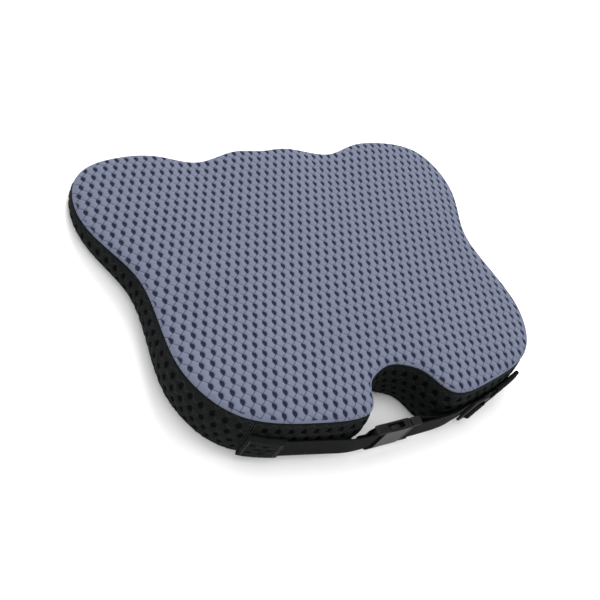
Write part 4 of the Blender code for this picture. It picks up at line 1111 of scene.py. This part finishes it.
def strap(name, node, side, barX, returnLength, sag):
    # webbing along the folded path; its returned end sags by a smooth step of its length
    plan, sagFrom = foldedPath(side, barX, returnLength)
    share = np.clip((np.abs(plan[:, 0] - barX) - s["sagStart"]) / (returnLength - s["sagStart"]), 0.0, 1.0)
    share[:sagFrom] = 0.0
    path = np.column_stack([plan, s["z"] - sag * share * share * (3 - 2 * share)])
    web = swept(name, path, webSection())
    finished(outwards(web), webCloth, body=None if side < 0 else "cushion", replaced=[node])
    if side < 0:
        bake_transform(web)


socketBarX = s["mouthX"] + s["socketLength"] - s["barWidth"]
plugBarX = s["mouthX"] - s["plugBase"] + s["barWidth"]
strap("strapLeft", "strap_left", 1.0, socketBarX, s["socketReturn"], 0.0)
strap("strapRight", "strap_right", -1.0, plugBarX, s["plugReturn"], s["sag"])

tabHole = {
    "across": 0.0074, "along": 0.0040, "pitch": 0.0112, "row": 0.0066, "sides": 12,
    "shares": (0.0, 0.62, 0.88, 1.04, 1.24), "depths": (0.0007, 0.00065, 0.00045, 0.00012, 0.0),
    "grid": 0.0013, "puff": 0.00022, "valley": 0.0009, "lip": 0.0026, "fork": 0.8, "shift": 0.002,
    "flat": 0.9, "edgeStep": 0.0014, "frontInset": 0.0006, "frontRise": 0.00025, "frontSink": 0.0002,
    "seamMargin": 0.0050, "endMargin": 0.0075, "sideMargin": 0.0050,
}
tabThread = {"length": 0.0022, "gap": 0.0008, "lift": 0.00005, "radius": 0.00028, "margin": 0.0022,
             "out": 0.0004, "fromEnd": (0.0022, 0.0040), "fromSeam": 0.0030}
seamThread = {"length": 0.0024, "gap": 0.0010, "lift": 0.0001, "radius": 0.00026, "aside": 0.0022,
              "roll": 0.0006}


def tab(name, node, side):
    # a doubled tab of mesh: a wrapped back with turned edges, and a perforated front let into it
    clear = s["tabClear"] + tabHalf
    xs = np.linspace(cushion["seamX"], tabEndX, 41)
    plan = np.array([wallAt(x, clear) for x in xs]) * np.array([side, 1.0])
    run = lengthAlong(plan)
    ahead = np.gradient(plan, axis=0)
    normal = np.stack([-ahead[:, 1], ahead[:, 0]], axis=1) * side
    normal /= np.linalg.norm(normal, axis=1)[:, None]
    if (normal[:, 1] < 0).mean() > 0.5:
        normal = -normal

    def halfWidth(u):
        return np.interp(u, [0.0, run[-1]], [s["tabOuterHalf"], s["tabInnerHalf"]])

    def stood(u, z, out):
        x, y = (np.interp(u, run, plan[:, k]) + np.interp(u, run, normal[:, k]) * out for k in range(2))
        return np.column_stack([x, y, s["z"] + z])

    hole = tabHole
    h, t, lip, flat = tabHalf, s["tabWall"], hole["lip"], hole["flat"]
    bend = np.radians(np.linspace(0, 180, 9))
    sideOver = np.concatenate([[h], h * np.cos(bend[1:-1]), [-h]])
    upOver = np.concatenate([[0.0], flat * h * np.sin(bend[1:-1]), [0.0]])
    inSide = (h - t) * np.cos(bend)
    inUp = flat * (h - t) * np.sin(bend)
    edge = halfWidth(run) - flat * h
    wrap = [(h, edge - lip)] + [(a, edge + b) for a, b in zip(sideOver, upOver)]
    wrap += [(a, -edge - b) for a, b in zip(sideOver[::-1], upOver[::-1])] + [(h, -edge + lip)]
    wrap += [(h - t, -edge + lip)] + [(a, -edge - b) for a, b in zip(inSide, inUp)]
    wrap += [(a, edge + b) for a, b in zip(inSide[::-1], inUp[::-1])] + [(h - t, edge - lip)]
    rows = np.stack([stood(run, up, out) for out, up in wrap], axis=1)
    back = newPiece(name + "Back", rows.reshape(-1, 3), gridFaces(*rows.shape[:2]))
    paintFirst(back, "pit", [])
    paint(back, "clothU", np.repeat(run, len(wrap)))
    paint(back, "clothV", rows[:, :, 2].ravel())
    finished(outwards(back), blackMeshCloth, replaced=[node])
    along = np.linspace(0.0, run[-1], int(run[-1] / hole["edgeStep"]))
    top = halfWidth(along) - flat * h - hole["frontInset"]
    ends = np.linspace(-1.0, 1.0, 18)[1:-1]
    border = np.vstack([columns(along, -top), columns(run[-1], ends * top[-1]),
                        columns(along, top)[::-1], columns(0.0, -ends * top[0])])
    shift = (hole["shift"], 0.0)
    centres = staggered((0.0, -0.02), (run[-1], 0.02), hole["pitch"], hole["row"], shift)
    keep = (centres[:, 0] > hole["seamMargin"]) & (centres[:, 0] < run[-1] - hole["endMargin"])
    keep &= np.abs(centres[:, 1]) < halfWidth(centres[:, 0]) - hole["sideMargin"]
    front, every = punchedShell(
        name + "Front", border, centres[keep], hole,
        lambda p, rise: stood(*p.T, h + hole["frontRise"] + rise),
        lambda p: stood(*p.T, h - t), [stood(*border.T, h - hole["frontSink"])],
        hole["grid"], lambda p: cellPuff(p - shift, hole))
    paintFirst(front, "clothU", every[:, 0] - hole["shift"])
    paintFirst(front, "clothV", every[:, 1])
    finished(outwards(front), blackMeshCloth)
    return stood, run, halfWidth


def tabStitches(name, made):
    # two rows of stitches across the tab's inner end and one along its seam
    stood, run, halfWidth = made
    thread, rows = tabThread, []
    for u in [run[-1] - back for back in thread["fromEnd"]] + [thread["fromSeam"]]:
        z = np.linspace(-1.0, 1.0, 60) * (halfWidth(u) - thread["margin"])
        path = stood(np.full(len(z), u), z, tabHalf + thread["out"])
        outward = stood(np.full(len(z), u), z, tabHalf + thread["out"] + 0.001) - path
        rows.append(dashes(path, outward, thread["length"], thread["gap"], thread["lift"]))
    finished(stitches(name, rows, thread["radius"]), lightThread)


tabStitches("tabStitchesLeft", tab("tabLeft", "tab_left", 1.0))
tabStitches("tabStitchesRight", tab("tabRight", "tab_right", -1.0))


def adjusterLoop():
    # the fold of webbing over the tri-glide's centre bar: up, half a turn, and down
    guide, outer = strapGuide()
    start = guide[4] * np.array([-1.0, 1.0])
    end = np.array([-s["straightEnd"], outer])
    along = (end - start) / np.linalg.norm(end - start)
    out = np.array([-along[1], along[0]])
    centre = start + along * (glide["x"] - start[0]) / along[0]
    centre = centre + out * (s["thick"] / 2 + glide["clear"] + glide["thick"] / 2)
    radius, foot = glide["loopRadius"], -glide["thick"] / 2
    angle = np.linspace(0.0, math.pi, 25)
    bow = np.column_stack([radius * np.cos(angle), radius * np.sin(angle)])
    flat = np.vstack([[(radius, foot), (radius, foot / 4)], bow, [(-radius, foot / 4), (-radius, foot)]])
    plan = centre + flat[:, :1] * along + flat[:, 1:] * out
    loop = swept("adjusterLoop", columns(plan[:, 0], plan[:, 1], s["z"]), webSection())
    finished(outwards(loop), webCloth, body="adjuster", replaced=["adjuster_loop"])


adjusterLoop()


def bandSeam(name, at):
    # the upright seam between the two side bands: a sunk roll with stitches along both sides
    tall = float(wallHeight(ring([at])[:, 1])[0])
    level = np.linspace(0.03, 0.97, 40)
    plan = np.vstack([ring([at], swell(value, tall)) for value in level])
    outward = ring([at], 0.01)[0] - ring([at])[0]
    outward = np.append(outward / np.linalg.norm(outward), 0.0)
    path = np.column_stack([plan, level * tall])
    thread = seamThread
    roll = swept(name + "Roll", path - outward * thread["roll"], circle(8, thread["roll"]), outward, uv=False)
    finished(outwards(roll), darkThread)
    aside = np.cross(outward, (0.0, 0.0, 1.0))
    upright = np.tile(outward, (len(path), 1))
    rows = [dashes(path + aside * shift, upright, thread["length"], thread["gap"], thread["lift"])
            for shift in (-thread["aside"], thread["aside"])]
    finished(stitches(name + "Stitches", rows, thread["radius"]), darkThread)


bandSeam("leftSeam", leftSeam)
bandSeam("rightSeam", rightSeam)
print("strap made")


lights = {
    "keyLight": ((-0.35, -1.05, 1.15), 0.7, 20.0), "fillLight": ((1.0, 0.6, 1.2), 1.0, 7.0),
    "rimLight": ((-1.0, 0.9, 1.0), 0.6, 7.0), "topLight": ((0.0, 0.0, 1.6), 1.0, 9.0),
}
room = {"floorHalf": 3.0, "floorZ": -0.0012, "floorShade": 0.96, "floorRough": 0.8, "sky": 0.62, "aim": 0.03}


def studio():
    # a pale floor, a pale sky, and four wide soft lights aimed at the cushion
    wide = room["floorHalf"]
    corners = [(x * wide, y * wide, room["floorZ"]) for x, y in ((-1, -1), (1, -1), (1, 1), (-1, 1))]
    floor = newPiece("floor", corners, [(0, 1, 2, 3)], smooth=False)
    material, _, shader = newMaterial("paleFloor")
    shader.inputs["Base Color"].default_value = rgb(*[room["floorShade"]] * 3)
    shader.inputs["Roughness"].default_value = room["floorRough"]
    floor.data.materials.append(material)
    world = bpy.data.worlds.new("studioSky")
    bpy.context.scene.world = world
    world.use_nodes = True
    sky = world.node_tree.nodes["Background"]
    sky.inputs[0].default_value = rgb(1.0, 1.0, 1.0)
    sky.inputs[1].default_value = room["sky"]
    for name, (place, size, power) in lights.items():
        light = bpy.data.lights.new(name, "AREA")
        light.size = size
        light.energy = power
        lamp = placed(name, light)
        lamp.location = place
        aim = Vector((0.0, 0.0, room["aim"])) - Vector(place)
        lamp.rotation_euler = aim.to_track_quat("-Z", "Y").to_euler()


view = {"azimuth": 128.53, "elevation": 49.68, "roll": -34.8, "distance": 0.872,
        "lens": 53.46, "target": (0.04187, 0.03466, 0.030)}


def camera():
    # stands at an azimuth and elevation about the target, and turns about its own axis by the roll
    a, e, r = (math.radians(view[key]) for key in ("azimuth", "elevation", "roll"))
    back = Vector((math.sin(a) * math.cos(e), -math.cos(a) * math.cos(e), math.sin(e)))
    right = Vector((math.cos(a), math.sin(a), 0.0))
    up = back.cross(right)
    across = right * math.cos(r) - up * math.sin(r)
    upward = right * math.sin(r) + up * math.cos(r)
    data = bpy.data.cameras.new("camera")
    data.lens = view["lens"]
    data.sensor_width = 36.0
    data.clip_start = 0.01
    made = placed("camera", data)
    place = Vector(view["target"]) + back * view["distance"]
    turn = Matrix((across, upward, back)).transposed().to_4x4()
    made.matrix_world = Matrix.Translation(place) @ turn
    bpy.context.scene.camera = made


studio()
camera()
bpy.context.scene.view_settings.view_transform = "Standard"


edges = {"plastic": 0.00030, "metal": 0.00015, "weld": 0.00002, "steps": 2, "sharpFrom": 50}


def eased(node, material, width):
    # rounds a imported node's edges: its loose triangles are welded, then its sharp edges bevelled
    piece = nodes[node]
    piece.data.materials.clear()
    piece.data.materials.append(material)
    weld = piece.modifiers.new("weld", "WELD")
    weld.merge_threshold = edges["weld"]
    bevel = piece.modifiers.new("bevel", "BEVEL")
    bevel.width = width
    bevel.segments = edges["steps"]
    bevel.limit_method = "ANGLE"
    bevel.angle_limit = math.radians(edges["sharpFrom"])
    bevel.use_clamp_overlap = True


for node in ("buckle_socket", "buckle_plug", "buckle_arm_upper", "buckle_arm_lower", "strap_adjuster"):
    eased(node, blackPlastic, edges["plastic"])
for node in ("zip_slider", "zip_pull", "zip_stop_left", "zip_stop_right"):
    eased(node, zipMetal, edges["metal"])
print("scene ready")
